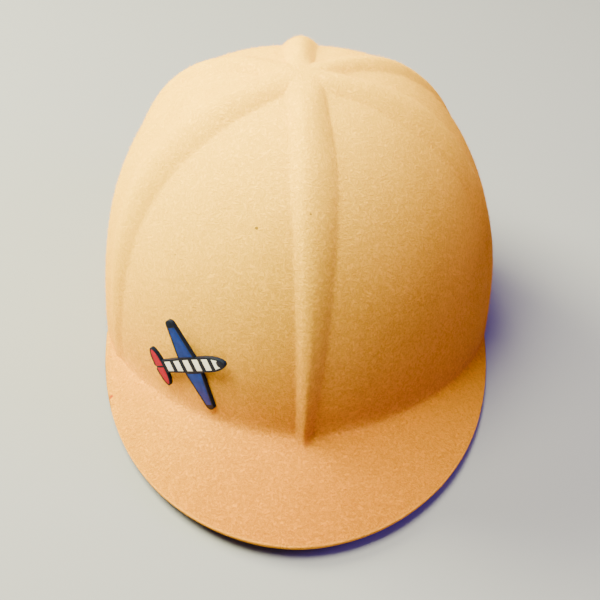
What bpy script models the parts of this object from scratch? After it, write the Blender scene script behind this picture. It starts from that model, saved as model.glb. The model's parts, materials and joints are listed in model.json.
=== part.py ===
"""A moulded felt cap with six pressed ribs, a short peak and an enamel aeroplane pin.

The cap rests on a floor at z = 0 with its front towards -Y. Azimuths run round the
crown from the front, towards +X. "Along" runs down a wall from the hub, 0, to the rim, 1.
"""

import math
from dataclasses import dataclass

import bmesh
import bpy
from mathutils import Matrix, Vector
from mathutils.bvhtree import BVHTree

MM = 0.001
GAP = 0.3 * MM
WELD = 0.001 * MM
SHARP_ANGLE = math.radians(40)

# Crown, outside sizes from the middle of the head opening
FELT = 2.4 * MM
HALF_WIDTH = 86.5 * MM
FRONT_REACH = 99.7 * MM
BACK_REACH = 98.3 * MM
CROWN_HEIGHT = 140.3 * MM
HUB_FORWARD = 18.0 * MM
SIDE_LEAN = 0.9 * MM
FRONT_ROUNDNESS = 1.65
BACK_ROUNDNESS = 2.0
FRONT_FULLNESS = 2.52
SIDE_FULLNESS = 2.36
BACK_FULLNESS = 1.8
HEIGHT_FULLNESS = 2.49
BELLY = 0.012

# Peak, from ear to ear
EAR_AZIMUTH = math.radians(88)
FOLD_HEIGHT = 22.9 * MM
FOLD_SWEEP = 1.2
PEAK_WIDTH = 46.2 * MM
PEAK_TAPER = 1.9
PEAK_START = 0.6 * MM
PEAK_LIFT = 4.2 * MM
PEAK_LIFT_SWEEP = 3.0
PEAK_ARCH = 1.5 * MM
PEAK_SETTLE = 6.0 * MM
RESTING_SNAP = 0.25 * MM

# Pressed ribs
RIB_HEIGHT = 4.2 * MM
RIB_FLANK = 8.9 * MM
RIB_BACK = 14.5 * MM
RIB_HUB_NARROWING = 0.6
RIB_FULL_WIDTH_ALONG = 0.35
RIB_RIM_NARROWING = 0.55
RIB_CLOSING = 4
RIB_FADING = 2
RIB_CROWDING = 0.35
RIB_FOOT_SHARPNESS = 12
HUB_RISE = 3.75 * MM
HUB_RADIUS = 22.0 * MM

# Mesh of the felt
HALF_RIB_COLUMNS = 4
CROWN_ROWS = 24
PEAK_ROWS = 7
SLOPE_STEP = 0.001
SLOPE_START = 0.02

# Pin, seen from its front with the nose towards its own +X
PIN_AZIMUTH = math.radians(-33.9)
PIN_ALONG = 0.907
PIN_TURN = math.radians(30.6)
PIN_SWING = math.radians(2.5)
PIN_DROOP = math.radians(4.5)
PLATE_THICK = 1.6 * MM
CELL_DEPTH = 0.8 * MM
RIM_WIDTH = 0.5 * MM
BODY_HALF = 3.5 * MM
BODY_TAIL_HALF = 2.9 * MM
NOSE_REACH = 21.8 * MM
NOSE_START = 10.5 * MM
WING_SPAN = 42.5 * MM
WING_ROOT_CHORD = 10.4 * MM
WING_TIP_CHORD = 4.0 * MM
LEFT_TIP_CAP = 3.2 * MM
RIGHT_TIP_CAP = 2.0 * MM
TAIL_BACK = 19.5 * MM
TAIL_SPAN = 18.4 * MM
TAIL_CHORD = 6.0 * MM
TAIL_NOTCH = 1.0 * MM
BAND_COUNT = 5
BAND_START = 1.1 * MM
BAND_WIDTH = 4.1 * MM
BAND_PITCH = 6.0 * MM
NOSE_CELL_LENGTH = 4.2 * MM
NOSE_CELL_END_HALF = 1.2 * MM
ARC_STEPS = 5
POST_RADIUS = 0.6 * MM
POST_ROOT = 0.25
POST_SIDES = 12
CLUTCH_RADIUS = 5.5 * MM
CLUTCH_NECK_RADIUS = 3.6 * MM
CLUTCH_BASE = 1.0 * MM
CLUTCH_NECK = 2.6 * MM
CLUTCH_SIDES = 20
PIN_PROBE = 15.0 * MM
PROBE_SHARES = (0.25, 0.5, 0.75, 1.0)


@dataclass(frozen=True)
class Rib:
    """A pressed rib, with a steep flank that ends sharply and a gentle back.

    Azimuths are in degrees, heights and width are shares of the rib sizes above. The flank
    lies on the side of smaller azimuths with -1, of larger ones with 1, on both with 0.
    A crest is a ridge with 1 and flatter with more.
    """

    at_hub: float
    at_rim: float
    bow: float
    hub_height: float
    rim_height: float
    width: float
    flank_side: int
    hub_crest: float
    rim_crest: float
    panel_columns: int

    def azimuth(self, along):
        """Azimuth of the crest, in radians."""
        bent = self.bow * 4 * along * (1 - along)
        return math.radians(self.at_hub + (self.at_rim - self.at_hub) * along + bent)

    def height(self, along):
        """How far the crest stands out of the crown."""
        fading = along ** RIB_FADING
        return RIB_HEIGHT * (self.hub_height + (self.rim_height - self.hub_height) * fading)

    def is_flank(self, side):
        """Whether the rib is steep on a side, -1 or 1."""
        return self.flank_side in (0, side)

    def reach(self, side, along):
        """From the crest to the foot on a side, across the rib."""
        opening = min(along / RIB_FULL_WIDTH_ALONG, 1.0)
        share = RIB_HUB_NARROWING + (1.0 - RIB_HUB_NARROWING) * opening
        share *= 1.0 - RIB_RIM_NARROWING * along ** RIB_CLOSING
        return (RIB_FLANK if self.is_flank(side) else RIB_BACK) * self.width * share

    def rise(self, turn, distance, along):
        """How far the rib stands out at an angle from its crest."""
        side = 1 if turn > 0 else -1
        share = min(abs(turn) * distance / self.reach(side, along), 1.0)
        if self.is_flank(side):
            crest = self.hub_crest + (self.rim_crest - self.hub_crest) * along
            return self.height(along) * (1 - share ** crest)
        return self.height(along) * (1 + math.cos(math.pi * share)) / 2


# The last number is the mesh columns of the panel that follows the rib
RIBS = (
    Rib(8.0, 3.0, 0.0, 1.0, 1.1, 1.32, 0, 2.4, 1.2, 10),
    Rib(70.0, 81.0, 0.0, 0.8, 0.1, 1.0, -1, 1.8, 1.8, 6),
    Rib(119.0, 119.0, 0.0, 0.7, 0.15, 1.0, -1, 1.8, 1.8, 5),
    Rib(180.0, 180.0, 0.0, 1.05, 0.25, 1.2, 0, 1.8, 1.8, 5),
    Rib(246.0, 241.5, 0.0, 0.65, 0.35, 1.0, 1, 1.8, 1.8, 6),
    Rib(306.0, 292.5, -4.0, 1.0, 0.2, 1.0, 1, 1.8, 1.8, 10),
)


def signed_power(value, power):
    """A power that keeps the sign of its base."""
    return math.copysign(abs(value) ** power, value)


def frontness(azimuth):
    """Share of the way from the ears, 0, to the middle of the front, 1."""
    ear = math.cos(EAR_AZIMUTH)
    return max(math.cos(azimuth) - ear, 0) / (1 - ear)


def rim_point(azimuth):
    """Foot of the crown wall, without ribs: on the floor behind, on the fold in front."""
    facing = math.cos(azimuth)
    roundness = FRONT_ROUNDNESS if facing > 0 else BACK_ROUNDNESS
    reach = FRONT_REACH if facing > 0 else BACK_REACH
    x = HALF_WIDTH * signed_power(math.sin(azimuth), 2 / roundness)
    y = -reach * signed_power(facing, 2 / roundness)
    z = max(FOLD_HEIGHT * frontness(azimuth) ** FOLD_SWEEP, resting_rise(azimuth))
    return Vector((x, y, z))


def rim_outward(azimuth):
    """Level direction that points straight out of the rim."""
    along_rim = rim_point(azimuth + SLOPE_STEP) - rim_point(azimuth - SLOPE_STEP)
    return Vector((along_rim.y, -along_rim.x, 0)).normalized()


def peak_width(azimuth):
    """Width of the peak, level, from the fold to its edge. Nothing behind the ears."""
    width = PEAK_WIDTH * frontness(azimuth) ** PEAK_TAPER
    return width if width > PEAK_START else 0.0


def resting_rise(azimuth):
    """Height of the top of felt that lies on the floor beside the ears."""
    return FELT * min(peak_width(azimuth) / PEAK_SETTLE, 1.0)


def peak_height(azimuth, share):
    """Height of the peak's top, at a share of its width from the fold."""
    facing = max(math.cos(azimuth), 0)
    fold = rim_point(azimuth).z
    edge = resting_rise(azimuth) + PEAK_LIFT * facing ** PEAK_LIFT_SWEEP
    arch = PEAK_ARCH * 4 * share * (1 - share) * peak_width(azimuth) / PEAK_WIDTH
    return fold + (edge - fold) * share + arch


def crown_base(azimuth, along):
    """The crown's outer surface without its ribs."""
    foot = rim_point(azimuth)
    facing = math.cos(azimuth)
    turn = along * math.pi / 2
    end = FRONT_FULLNESS if facing > 0 else BACK_FULLNESS
    fullness = SIDE_FULLNESS + (end - SIDE_FULLNESS) * facing ** 2
    rise = max(math.cos(turn), 0) ** (2 / HEIGHT_FULLNESS)
    belly = math.sin(math.pi * rise)
    spread = math.sin(turn) ** (2 / fullness) * (1 + BELLY * belly)
    x = foot.x * spread + SIDE_LEAN * belly
    y = -HUB_FORWARD + (foot.y + HUB_FORWARD) * spread
    z = foot.z + (CROWN_HEIGHT - foot.z) * rise
    return Vector((x, y, z))


def slopes(surface, azimuth, along):
    """How a surface runs round the crown and down it, at one point."""
    along = min(max(along, SLOPE_START), 1 - SLOPE_STEP)
    across = surface(azimuth + SLOPE_STEP, along) - surface(azimuth - SLOPE_STEP, along)
    down = surface(azimuth, along + SLOPE_STEP) - surface(azimuth, along - SLOPE_STEP)
    return across / (2 * SLOPE_STEP), down / (2 * SLOPE_STEP)


def outward(surface, azimuth, along):
    """Direction straight out of a surface, which is straight up at the hub."""
    if along <= 0:
        return Vector((0, 0, 1))
    across, down = slopes(surface, azimuth, along)
    return down.cross(across).normalized()


def hub_distance(azimuth, along):
    """Level distance of a crown point from the hub."""
    point = crown_base(azimuth, along)
    return math.hypot(point.x, point.y + HUB_FORWARD)


def turn_between(start, end):
    """Smallest turn from one azimuth to another, with its sign."""
    return (end - start + math.pi) % (2 * math.pi) - math.pi


def relief(azimuth, along):
    """How far the ribs and the hub stand out of the crown at one point."""
    distance = hub_distance(azimuth, along)
    rises = [rib.rise(turn_between(rib.azimuth(along), azimuth), distance, along) for rib in RIBS]
    height = max(rises)
    near_hub = max(1 - distance / HUB_RADIUS, 0.0)
    blend = near_hub * near_hub * (3 - 2 * near_hub)
    return height + (HUB_RISE - height) * blend


def crown_point(azimuth, along):
    """The crown's outer surface with its ribs. A rib's foot comes down onto the peak."""
    standing = relief(azimuth, along)
    point = crown_base(azimuth, along) + outward(crown_base, azimuth, along) * standing
    width = peak_width(azimuth)
    if width > 0:
        share = min(relief(azimuth, 1.0) / width, 1.0)
        drop = rim_point(azimuth).z - peak_height(azimuth, share)
        point.z -= drop * along ** RIB_FOOT_SHARPNESS
    return point


def peak_point(azimuth, share):
    """The peak's top, at a share of its width from the fold to its edge."""
    width = peak_width(azimuth)
    if width == 0:
        return crown_point(azimuth, 1.0)
    start = min(relief(azimuth, 1.0), width)
    distance = start + (width - start) * share
    point = rim_point(azimuth) + rim_outward(azimuth) * distance
    point.z = peak_height(azimuth, distance / width)
    return point


def foot_turn(rib, side, along):
    """Angle from a rib's crest to its foot, kept clear of the next ribs near the hub."""
    distance = max(hub_distance(rib.azimuth(along), along), MM)
    crowded = RIB_CROWDING * 2 * math.pi / len(RIBS)
    return min(rib.reach(side, along) / distance, crowded)


def sector_columns(rib):
    """Mesh columns from one rib's crest to the next rib's."""
    return 2 * HALF_RIB_COLUMNS + rib.panel_columns


def column_azimuth(column, along):
    """Azimuth of a mesh column, which follows the ribs down the crown."""
    index, step = 0, column
    while step >= sector_columns(RIBS[index]):
        step -= sector_columns(RIBS[index])
        index = (index + 1) % len(RIBS)
    rib = RIBS[index]
    following = RIBS[(index + 1) % len(RIBS)]
    start = rib.azimuth(along)
    end = start + (following.azimuth(along) - start) % (2 * math.pi)
    start_foot = start + foot_turn(rib, 1, along)
    end_foot = end - foot_turn(following, -1, along)
    before_end = sector_columns(rib) - step
    if step <= HALF_RIB_COLUMNS:
        return start + (start_foot - start) * step / HALF_RIB_COLUMNS
    if before_end <= HALF_RIB_COLUMNS:
        return end - (end - end_foot) * before_end / HALF_RIB_COLUMNS
    share = (step - HALF_RIB_COLUMNS) / rib.panel_columns
    return start_foot + (end_foot - start_foot) * share


def sheet_point(column, row):
    """Place of one point of the felt's outer surface, from the hub to the peak's edge."""
    along = min(row / CROWN_ROWS, 1.0)
    azimuth = column_azimuth(column, along)
    if row <= CROWN_ROWS:
        return crown_point(azimuth, along)
    return peak_point(azimuth, (row - CROWN_ROWS) / PEAK_ROWS)


def new_collection(name):
    """A collection in the scene."""
    collection = bpy.data.collections.new(name)
    bpy.context.scene.collection.children.link(collection)
    return collection


def new_object(name, mesh, collection, parent=None):
    """An object for a mesh, in a collection and under a parent."""
    item = bpy.data.objects.new(name, mesh)
    collection.objects.link(item)
    item.parent = parent
    return item


def new_empty(name, matrix, collection, parent=None):
    """An empty that carries other objects."""
    empty = new_object(name, None, collection, parent)
    empty.matrix_local = matrix
    return empty


def evaluated_mesh(item):
    """A plain mesh of an object with its modifiers applied."""
    bpy.context.view_layer.update()
    graph = bpy.context.evaluated_depsgraph_get()
    return bpy.data.meshes.new_from_object(item.evaluated_get(graph), depsgraph=graph)


def dress(item, colour, roughness, metallic=0.0):
    """Give an object a material of its own."""
    material = bpy.data.materials.new(item.name)
    material.use_nodes = True
    shader = material.node_tree.nodes["Principled BSDF"]
    shader.inputs["Base Color"].default_value = (*colour, 1.0)
    shader.inputs["Roughness"].default_value = roughness
    shader.inputs["Metallic"].default_value = metallic
    item.data.materials.clear()
    item.data.materials.append(material)


def shade_round(item):
    """Shade a round piece smooth, with its sharp edges kept."""
    item.data.shade_smooth()
    item.data.set_sharp_from_angle(angle=SHARP_ANGLE)


def cut(item, cutter):
    """Take a cutter's shape out of an object."""
    modifier = item.modifiers.new(cutter.name, "BOOLEAN")
    modifier.operation = "DIFFERENCE"
    modifier.object = cutter


def mark_cutter(item):
    """Show a cutter as wire and leave it out of renders."""
    item.display_type = "WIRE"
    item.hide_render = True


def felt_surface():
    """Mesh of the felt's outer surface, open at its edge."""
    columns = sum(sector_columns(rib) for rib in RIBS)
    rows = CROWN_ROWS + PEAK_ROWS
    shape = bmesh.new()
    bmesh.ops.create_grid(shape, x_segments=columns, y_segments=rows, size=0.5)
    for point in shape.verts:
        column = round((point.co.x + 0.5) * columns)
        row = round((point.co.y + 0.5) * rows)
        point.co = sheet_point(column, row)
    bmesh.ops.remove_doubles(shape, verts=shape.verts, dist=WELD)
    bmesh.ops.reverse_faces(shape, faces=shape.faces)
    mesh = bpy.data.meshes.new("felt_surface")
    shape.to_mesh(mesh)
    shape.free()
    return mesh


def flatten_on_floor(mesh):
    """Press felt that lies on the floor flat."""
    for point in mesh.vertices:
        if point.co.z < RESTING_SNAP:
            point.co.z = 0.0


def build_felt(collection, origin):
    """The whole cap in one wall of felt."""
    felt = new_object("felt_body", felt_surface(), collection, origin)
    wall = felt.modifiers.new("wall", "SOLIDIFY")
    wall.thickness = FELT
    wall.offset = -1.0
    wall.use_even_offset = True
    solid = evaluated_mesh(felt)
    felt.modifiers.clear()
    felt.data = solid
    flatten_on_floor(solid)
    shade_round(felt)
    dress(felt, (0.78, 0.53, 0.27), 0.95)
    return felt


def middle_of_base(mesh):
    """Middle of the bottom of a mesh's box."""
    xs = [point.co.x for point in mesh.vertices]
    ys = [point.co.y for point in mesh.vertices]
    return Vector(((min(xs) + max(xs)) / 2, (min(ys) + max(ys)) / 2, 0))


def pin_frame():
    """Frame of the pin on the felt: X to the nose, Z out of the felt, drooping a little."""
    square = outward(crown_point, PIN_AZIMUTH, PIN_ALONG)
    swung = Matrix.Rotation(PIN_SWING, 3, "Z") @ square
    level = Vector((0, 0, 1)).cross(swung).normalized()
    out = Matrix.Rotation(PIN_DROOP, 3, level) @ swung
    nose = Matrix.Rotation(PIN_TURN, 3, out) @ level
    frame = Matrix((nose, out.cross(nose), out)).transposed().to_4x4()
    frame.translation = crown_point(PIN_AZIMUTH, PIN_ALONG)
    return frame


def felt_under_pin(frame, felt_mesh, places):
    """Highest outer and lowest inner height of the felt at flat places, in the pin's frame."""
    felt = BVHTree.FromPolygons(
        [frame.inverted() @ point.co for point in felt_mesh.vertices],
        [face.vertices for face in felt_mesh.polygons],
    )
    outer, inner = [0.0], [-FELT]
    for x, y in places:
        from_outside, *_ = felt.ray_cast(Vector((x, y, PIN_PROBE)), Vector((0, 0, -1)))
        from_inside, *_ = felt.ray_cast(Vector((x, y, -PIN_PROBE)), Vector((0, 0, 1)))
        if from_outside and from_inside:
            outer.append(from_outside.z)
            inner.append(from_inside.z)
    return max(outer), min(inner)


def spread_inside(outline):
    """The outline's points and smaller copies of them round the middle."""
    return [(x * share, y * share) for share in PROBE_SHARES for x, y in outline]


def circle(radius):
    """Points round a circle."""
    turns = [2 * math.pi * step / CLUTCH_SIDES for step in range(CLUTCH_SIDES)]
    return [(radius * math.cos(turn), radius * math.sin(turn)) for turn in turns]


def prism(name, outline, low, high, collection, parent):
    """A flat outline with a thickness, as a mesh."""
    curve = bpy.data.curves.new(name, "CURVE")
    curve.dimensions = "2D"
    curve.fill_mode = "BOTH"
    curve.extrude = (high - low) / 2
    spline = curve.splines.new("POLY")
    spline.points.add(len(outline) - 1)
    for point, (x, y) in zip(spline.points, outline):
        point.co = (x, y, 0, 1)
    spline.use_cyclic_u = True
    guide = new_object(name + "_outline", curve, collection)
    mesh = evaluated_mesh(guide)
    bpy.data.objects.remove(guide)
    shape = bmesh.new()
    shape.from_mesh(mesh)
    bmesh.ops.remove_doubles(shape, verts=shape.verts, dist=WELD)
    bmesh.ops.translate(shape, verts=shape.verts, vec=(0, 0, (low + high) / 2))
    shape.to_mesh(mesh)
    shape.free()
    return new_object(name, mesh, collection, parent)


def mirrored(half):
    """A closed outline from its half at +Y, which starts and ends on the middle line."""
    other = [(x, -y) for x, y in reversed(half) if y > 0]
    return half + other


def wing_half_chord(y):
    """Half of the wing's chord at a distance from the middle line."""
    share = (y - BODY_HALF) / (WING_SPAN / 2 - BODY_HALF)
    return (WING_ROOT_CHORD + (WING_TIP_CHORD - WING_ROOT_CHORD) * share) / 2


def body_half(x):
    """Half of the fuselage's height at a place along it."""
    if x > NOSE_START:
        share = min((x - NOSE_START) / (NOSE_REACH - NOSE_START), 1.0)
        return BODY_HALF * math.sqrt(1 - share * share)
    share = max(-x, 0) / TAIL_BACK
    return BODY_HALF + (BODY_TAIL_HALF - BODY_HALF) * share


def tail_point(angle, inset=0.0):
    """A point of the tailplane's oval outline."""
    half_chord = TAIL_CHORD / 2 - inset
    half_span = TAIL_SPAN / 2 - inset
    return (-TAIL_BACK + half_chord * math.cos(angle), half_span * math.sin(angle))


def plate_outline():
    """The aeroplane's whole outline."""
    half = []
    for step in range(ARC_STEPS):
        angle = math.pi / 2 * step / ARC_STEPS
        x = NOSE_START + (NOSE_REACH - NOSE_START) * math.cos(angle)
        half.append((x, BODY_HALF * math.sin(angle)))
    tip_round = WING_TIP_CHORD / 2
    tip_start = WING_SPAN / 2 - tip_round
    half.append((WING_ROOT_CHORD / 2, BODY_HALF))
    for step in range(ARC_STEPS + 1):
        angle = math.pi * step / ARC_STEPS
        x = wing_half_chord(tip_start) * math.cos(angle)
        half.append((x, tip_start + tip_round * math.sin(angle)))
    half.append((-WING_ROOT_CHORD / 2, body_half(-WING_ROOT_CHORD / 2)))
    root = math.asin(body_half(-TAIL_BACK) / (TAIL_SPAN / 2))
    for step in range(2 * ARC_STEPS):
        angle = root + (math.pi - root) * step / (2 * ARC_STEPS)
        half.append(tail_point(angle))
    half.append((-TAIL_BACK - TAIL_CHORD / 2 + TAIL_NOTCH, 0))
    return mirrored(half)


def wing_cell(side, tip_cap, inset):
    """Outline of a wing's cell, at +Y or -Y, up to its dark tip."""
    margin = RIM_WIDTH + inset
    root = BODY_HALF + margin / 2
    tip = WING_SPAN / 2 - tip_cap - inset
    root_half = wing_half_chord(root) - margin
    tip_half = wing_half_chord(tip) - margin
    corners = [(root_half, root), (tip_half, tip), (-tip_half, tip), (-root_half, root)]
    return [(x, side * y) for x, y in corners]


def band_start(number):
    """Where a band across the fuselage starts, counted from the tail."""
    return -TAIL_BACK + TAIL_CHORD / 2 + BAND_START + BAND_PITCH * number


def band_cell(number, inset):
    """Outline of a band's cell."""
    back = band_start(number) + inset
    front = band_start(number) + BAND_WIDTH - inset
    margin = RIM_WIDTH + inset
    corners = [(front, body_half(front) - margin), (back, body_half(back) - margin)]
    return corners + [(x, -y) for x, y in reversed(corners)]


def nose_cell(inset):
    """Outline of the cell in the nose, after the last band."""
    back = band_start(BAND_COUNT) + inset
    front = back + NOSE_CELL_LENGTH - 2 * inset
    margin = RIM_WIDTH + inset
    corners = [(front, NOSE_CELL_END_HALF - inset), (back, body_half(back) - margin)]
    return corners + [(x, -y) for x, y in reversed(corners)]


def tail_cell(side, inset):
    """Outline of a half of the tailplane, at +Y or -Y."""
    margin = RIM_WIDTH + inset
    low = math.asin((RIM_WIDTH / 2 + inset) / (TAIL_SPAN / 2 - margin))
    points = []
    for step in range(2 * ARC_STEPS + 1):
        angle = low + (math.pi - 2 * low) * step / (2 * ARC_STEPS)
        x, y = tail_point(angle, margin)
        points.append((x, side * y))
    return points


def cells():
    """Name, colour and outline of each cell, for a given inset."""
    blue, white, red = (0.02, 0.09, 0.42), (0.85, 0.86, 0.88), (0.62, 0.03, 0.06)
    listed = [
        ("wing_enamel_left", blue, lambda inset: wing_cell(1, LEFT_TIP_CAP, inset)),
        ("wing_enamel_right", blue, lambda inset: wing_cell(-1, RIGHT_TIP_CAP, inset)),
        ("tail_enamel_left", red, lambda inset: tail_cell(1, inset)),
        ("tail_enamel_right", red, lambda inset: tail_cell(-1, inset)),
        ("nose_enamel", white, nose_cell),
    ]
    for number in range(BAND_COUNT):
        outline = lambda inset, number=number: band_cell(number, inset)
        listed.append((f"band_enamel_{number + 1}", white, outline))
    return listed


def build_plate(collection, cutters, seat, back, post_end):
    """The aeroplane's metal plate, with its cells and its post."""
    front = back + PLATE_THICK
    plate = prism("pin_plate", plate_outline(), back, front, collection, seat)
    for name, _, outline in cells():
        low = front - CELL_DEPTH
        cutter = prism(name + "_cell", outline(0.0), low, front + CELL_DEPTH, cutters, seat)
        mark_cutter(cutter)
        cut(plate, cutter)
    top = back + PLATE_THICK * POST_ROOT
    post = round_bar("post", POST_RADIUS, post_end, top, cutters, seat)
    mark_cutter(post)
    join = plate.modifiers.new("post", "BOOLEAN")
    join.operation = "UNION"
    join.object = post
    dress(plate, (0.03, 0.035, 0.05), 0.35, 0.9)
    return front


def round_bar(name, radius, low, high, collection, parent):
    """A plain cylinder along the parent's Z."""
    mesh = bpy.data.meshes.new(name)
    shape = bmesh.new()
    bmesh.ops.create_cone(
        shape,
        cap_ends=True,
        segments=POST_SIDES,
        radius1=radius,
        radius2=radius,
        depth=high - low,
        matrix=Matrix.Translation((0, 0, (low + high) / 2)),
    )
    shape.to_mesh(mesh)
    shape.free()
    return new_object(name, mesh, collection, parent)


def build_enamels(collection, seat, front):
    """The coloured pieces, one in each cell."""
    for name, colour, outline in cells():
        low = front - CELL_DEPTH + GAP
        piece = prism(name, outline(GAP), low, front, collection, seat)
        dress(piece, colour, 0.15)


def build_clutch(collection, seat, top):
    """The round clutch on the post, a turned ring against the inside of the felt."""
    bore = POST_RADIUS + GAP
    base = top - CLUTCH_BASE
    bottom = base - CLUTCH_NECK
    profile = [
        (bore, top),
        (CLUTCH_RADIUS, top),
        (CLUTCH_RADIUS, base),
        (CLUTCH_NECK_RADIUS, base),
        (CLUTCH_NECK_RADIUS, bottom),
        (bore, bottom),
    ]
    mesh = bpy.data.meshes.new("pin_clutch")
    count = len(profile)
    edges = [(index, (index + 1) % count) for index in range(count)]
    mesh.from_pydata([(x, 0, z) for x, z in profile], edges, [])
    clutch = new_object("pin_clutch", mesh, collection, seat)
    turning = clutch.modifiers.new("turning", "SCREW")
    turning.steps = CLUTCH_SIDES
    turning.render_steps = CLUTCH_SIDES
    turning.use_merge_vertices = True
    turning.merge_threshold = WELD
    dress(clutch, (0.72, 0.53, 0.22), 0.3, 1.0)
    return bottom


def clear_scene():
    """Take everything out of the scene."""
    for item in list(bpy.data.objects):
        bpy.data.objects.remove(item)
    for collection in list(bpy.data.collections):
        bpy.data.collections.remove(collection)


def main():
    """Build the cap and its pin."""
    clear_scene()
    collection = new_collection("felt_cap")
    cutters = new_collection("cutters")
    origin = new_empty("cap_origin", Matrix.Identity(4), collection)
    felt = build_felt(collection, origin)
    origin.location = -middle_of_base(felt.data)

    frame = pin_frame()
    seat = new_empty("pin_seat", frame, collection, origin)
    highest, _ = felt_under_pin(frame, felt.data, spread_inside(plate_outline()))
    _, lowest = felt_under_pin(frame, felt.data, spread_inside(circle(CLUTCH_RADIUS)))
    clutch_top = lowest - GAP
    clutch_bottom = clutch_top - CLUTCH_BASE - CLUTCH_NECK
    post_end = clutch_bottom + CLUTCH_NECK / 2
    front = build_plate(collection, cutters, seat, highest + GAP, post_end)
    build_enamels(collection, seat, front)
    build_clutch(collection, seat, clutch_top)

    hole = round_bar("post_hole", POST_RADIUS + GAP, post_end, front, cutters, seat)
    mark_cutter(hole)
    cut(felt, hole)


main()
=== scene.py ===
"""Looks of a moulded felt cap with an enamel aeroplane pin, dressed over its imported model.

The felt, the pin and its clutch are made finer here than the solids that they stand for, on
the same sizes. Azimuths run round the crown from the front, towards +X. "Along" runs down
the crown's wall from the hub, 0, to the rim, 1. Lengths are in metres.
"""

import json
import logging
import math
from collections.abc import Callable, Iterable, Iterator, Sequence
from contextlib import contextmanager
from dataclasses import dataclass
from enum import Enum

import bmesh
import bpy
import numpy as np
from mathutils import Matrix, Vector, noise

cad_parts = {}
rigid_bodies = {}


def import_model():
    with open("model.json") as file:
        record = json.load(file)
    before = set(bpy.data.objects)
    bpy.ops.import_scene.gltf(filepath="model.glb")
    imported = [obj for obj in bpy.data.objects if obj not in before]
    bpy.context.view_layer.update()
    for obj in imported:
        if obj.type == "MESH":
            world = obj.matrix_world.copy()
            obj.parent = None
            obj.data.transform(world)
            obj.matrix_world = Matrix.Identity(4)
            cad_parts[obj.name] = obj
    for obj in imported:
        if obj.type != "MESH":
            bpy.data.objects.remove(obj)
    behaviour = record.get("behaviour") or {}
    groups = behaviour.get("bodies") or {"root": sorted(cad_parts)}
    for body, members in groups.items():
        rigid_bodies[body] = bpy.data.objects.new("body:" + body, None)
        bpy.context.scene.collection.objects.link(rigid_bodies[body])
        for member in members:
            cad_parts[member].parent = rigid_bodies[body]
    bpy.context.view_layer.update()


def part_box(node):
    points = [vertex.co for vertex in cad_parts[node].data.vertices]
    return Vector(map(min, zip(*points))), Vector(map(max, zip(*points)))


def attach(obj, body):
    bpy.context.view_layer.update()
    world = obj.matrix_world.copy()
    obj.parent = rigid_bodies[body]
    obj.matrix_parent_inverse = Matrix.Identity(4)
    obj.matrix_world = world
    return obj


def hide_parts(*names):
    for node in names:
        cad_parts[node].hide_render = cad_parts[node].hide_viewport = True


log = logging.getLogger("felt_cap")

MM = 0.001
WELD = 0.001 * MM
BODY = "root"
# Mask of the painted shade that darkens the peak, rising from the fold.
PEAK_SHADE = "painted_peak_shade"
MASK_MIDDLE = 0.5
NOISE_MIDDLE = 0.5
BEVELLED_ANGLE = math.radians(40)
SHARP_ANGLE = math.radians(50)

# Shares of a hair's named length, its lean in radians, and how many of the longest hairs'
# lengths above the floor the first one grows.
SHORTEST_HAIR = 0.5
LONGEST_HAIR = 1.25
HAIR_LEAN = 1.25
CLEAR_LENGTHS = 2.0

Surface = Callable[[np.ndarray, np.ndarray], np.ndarray]
Outline = list[tuple[float, float]]


class Slot(Enum):
    """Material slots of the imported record."""

    FELT = "felt"
    PIN_METAL = "pin_metal"
    BLUE = "blue_enamel"
    WHITE = "white_enamel"
    RED = "red_enamel"
    BRASS = "clutch_brass"


class Region(Enum):
    """Regions of the felt, each with the name of the mesh attribute that masks it."""

    CROWN = "crown"
    PEAK = "peak"
    EDGE = "edge"


class Flank(Enum):
    """Where a rib is steep and ends sharply: towards smaller azimuths, larger ones or both."""

    SMALLER = -1
    BOTH = 0
    LARGER = 1


class Effect(Enum):
    """Effects that materials share, each with the name of its node group."""

    WOOL = "wool"
    MARK = "mark"
    WEAR = "wear"


def signed_power(value: np.ndarray, power: float) -> np.ndarray:
    """A power that keeps the sign of its base."""
    return np.sign(value) * np.abs(value) ** power


def along_z(matrix: Matrix, points: Iterable[Sequence[float]]) -> list[float]:
    """Heights of points along a frame's Z.

    Args:
        matrix: The frame, as a world matrix.
        points: Points in the world.

    Returns:
        One height for each point.
    """
    inverse = matrix.inverted()
    return [(inverse @ Vector(point)).z for point in points]


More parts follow.
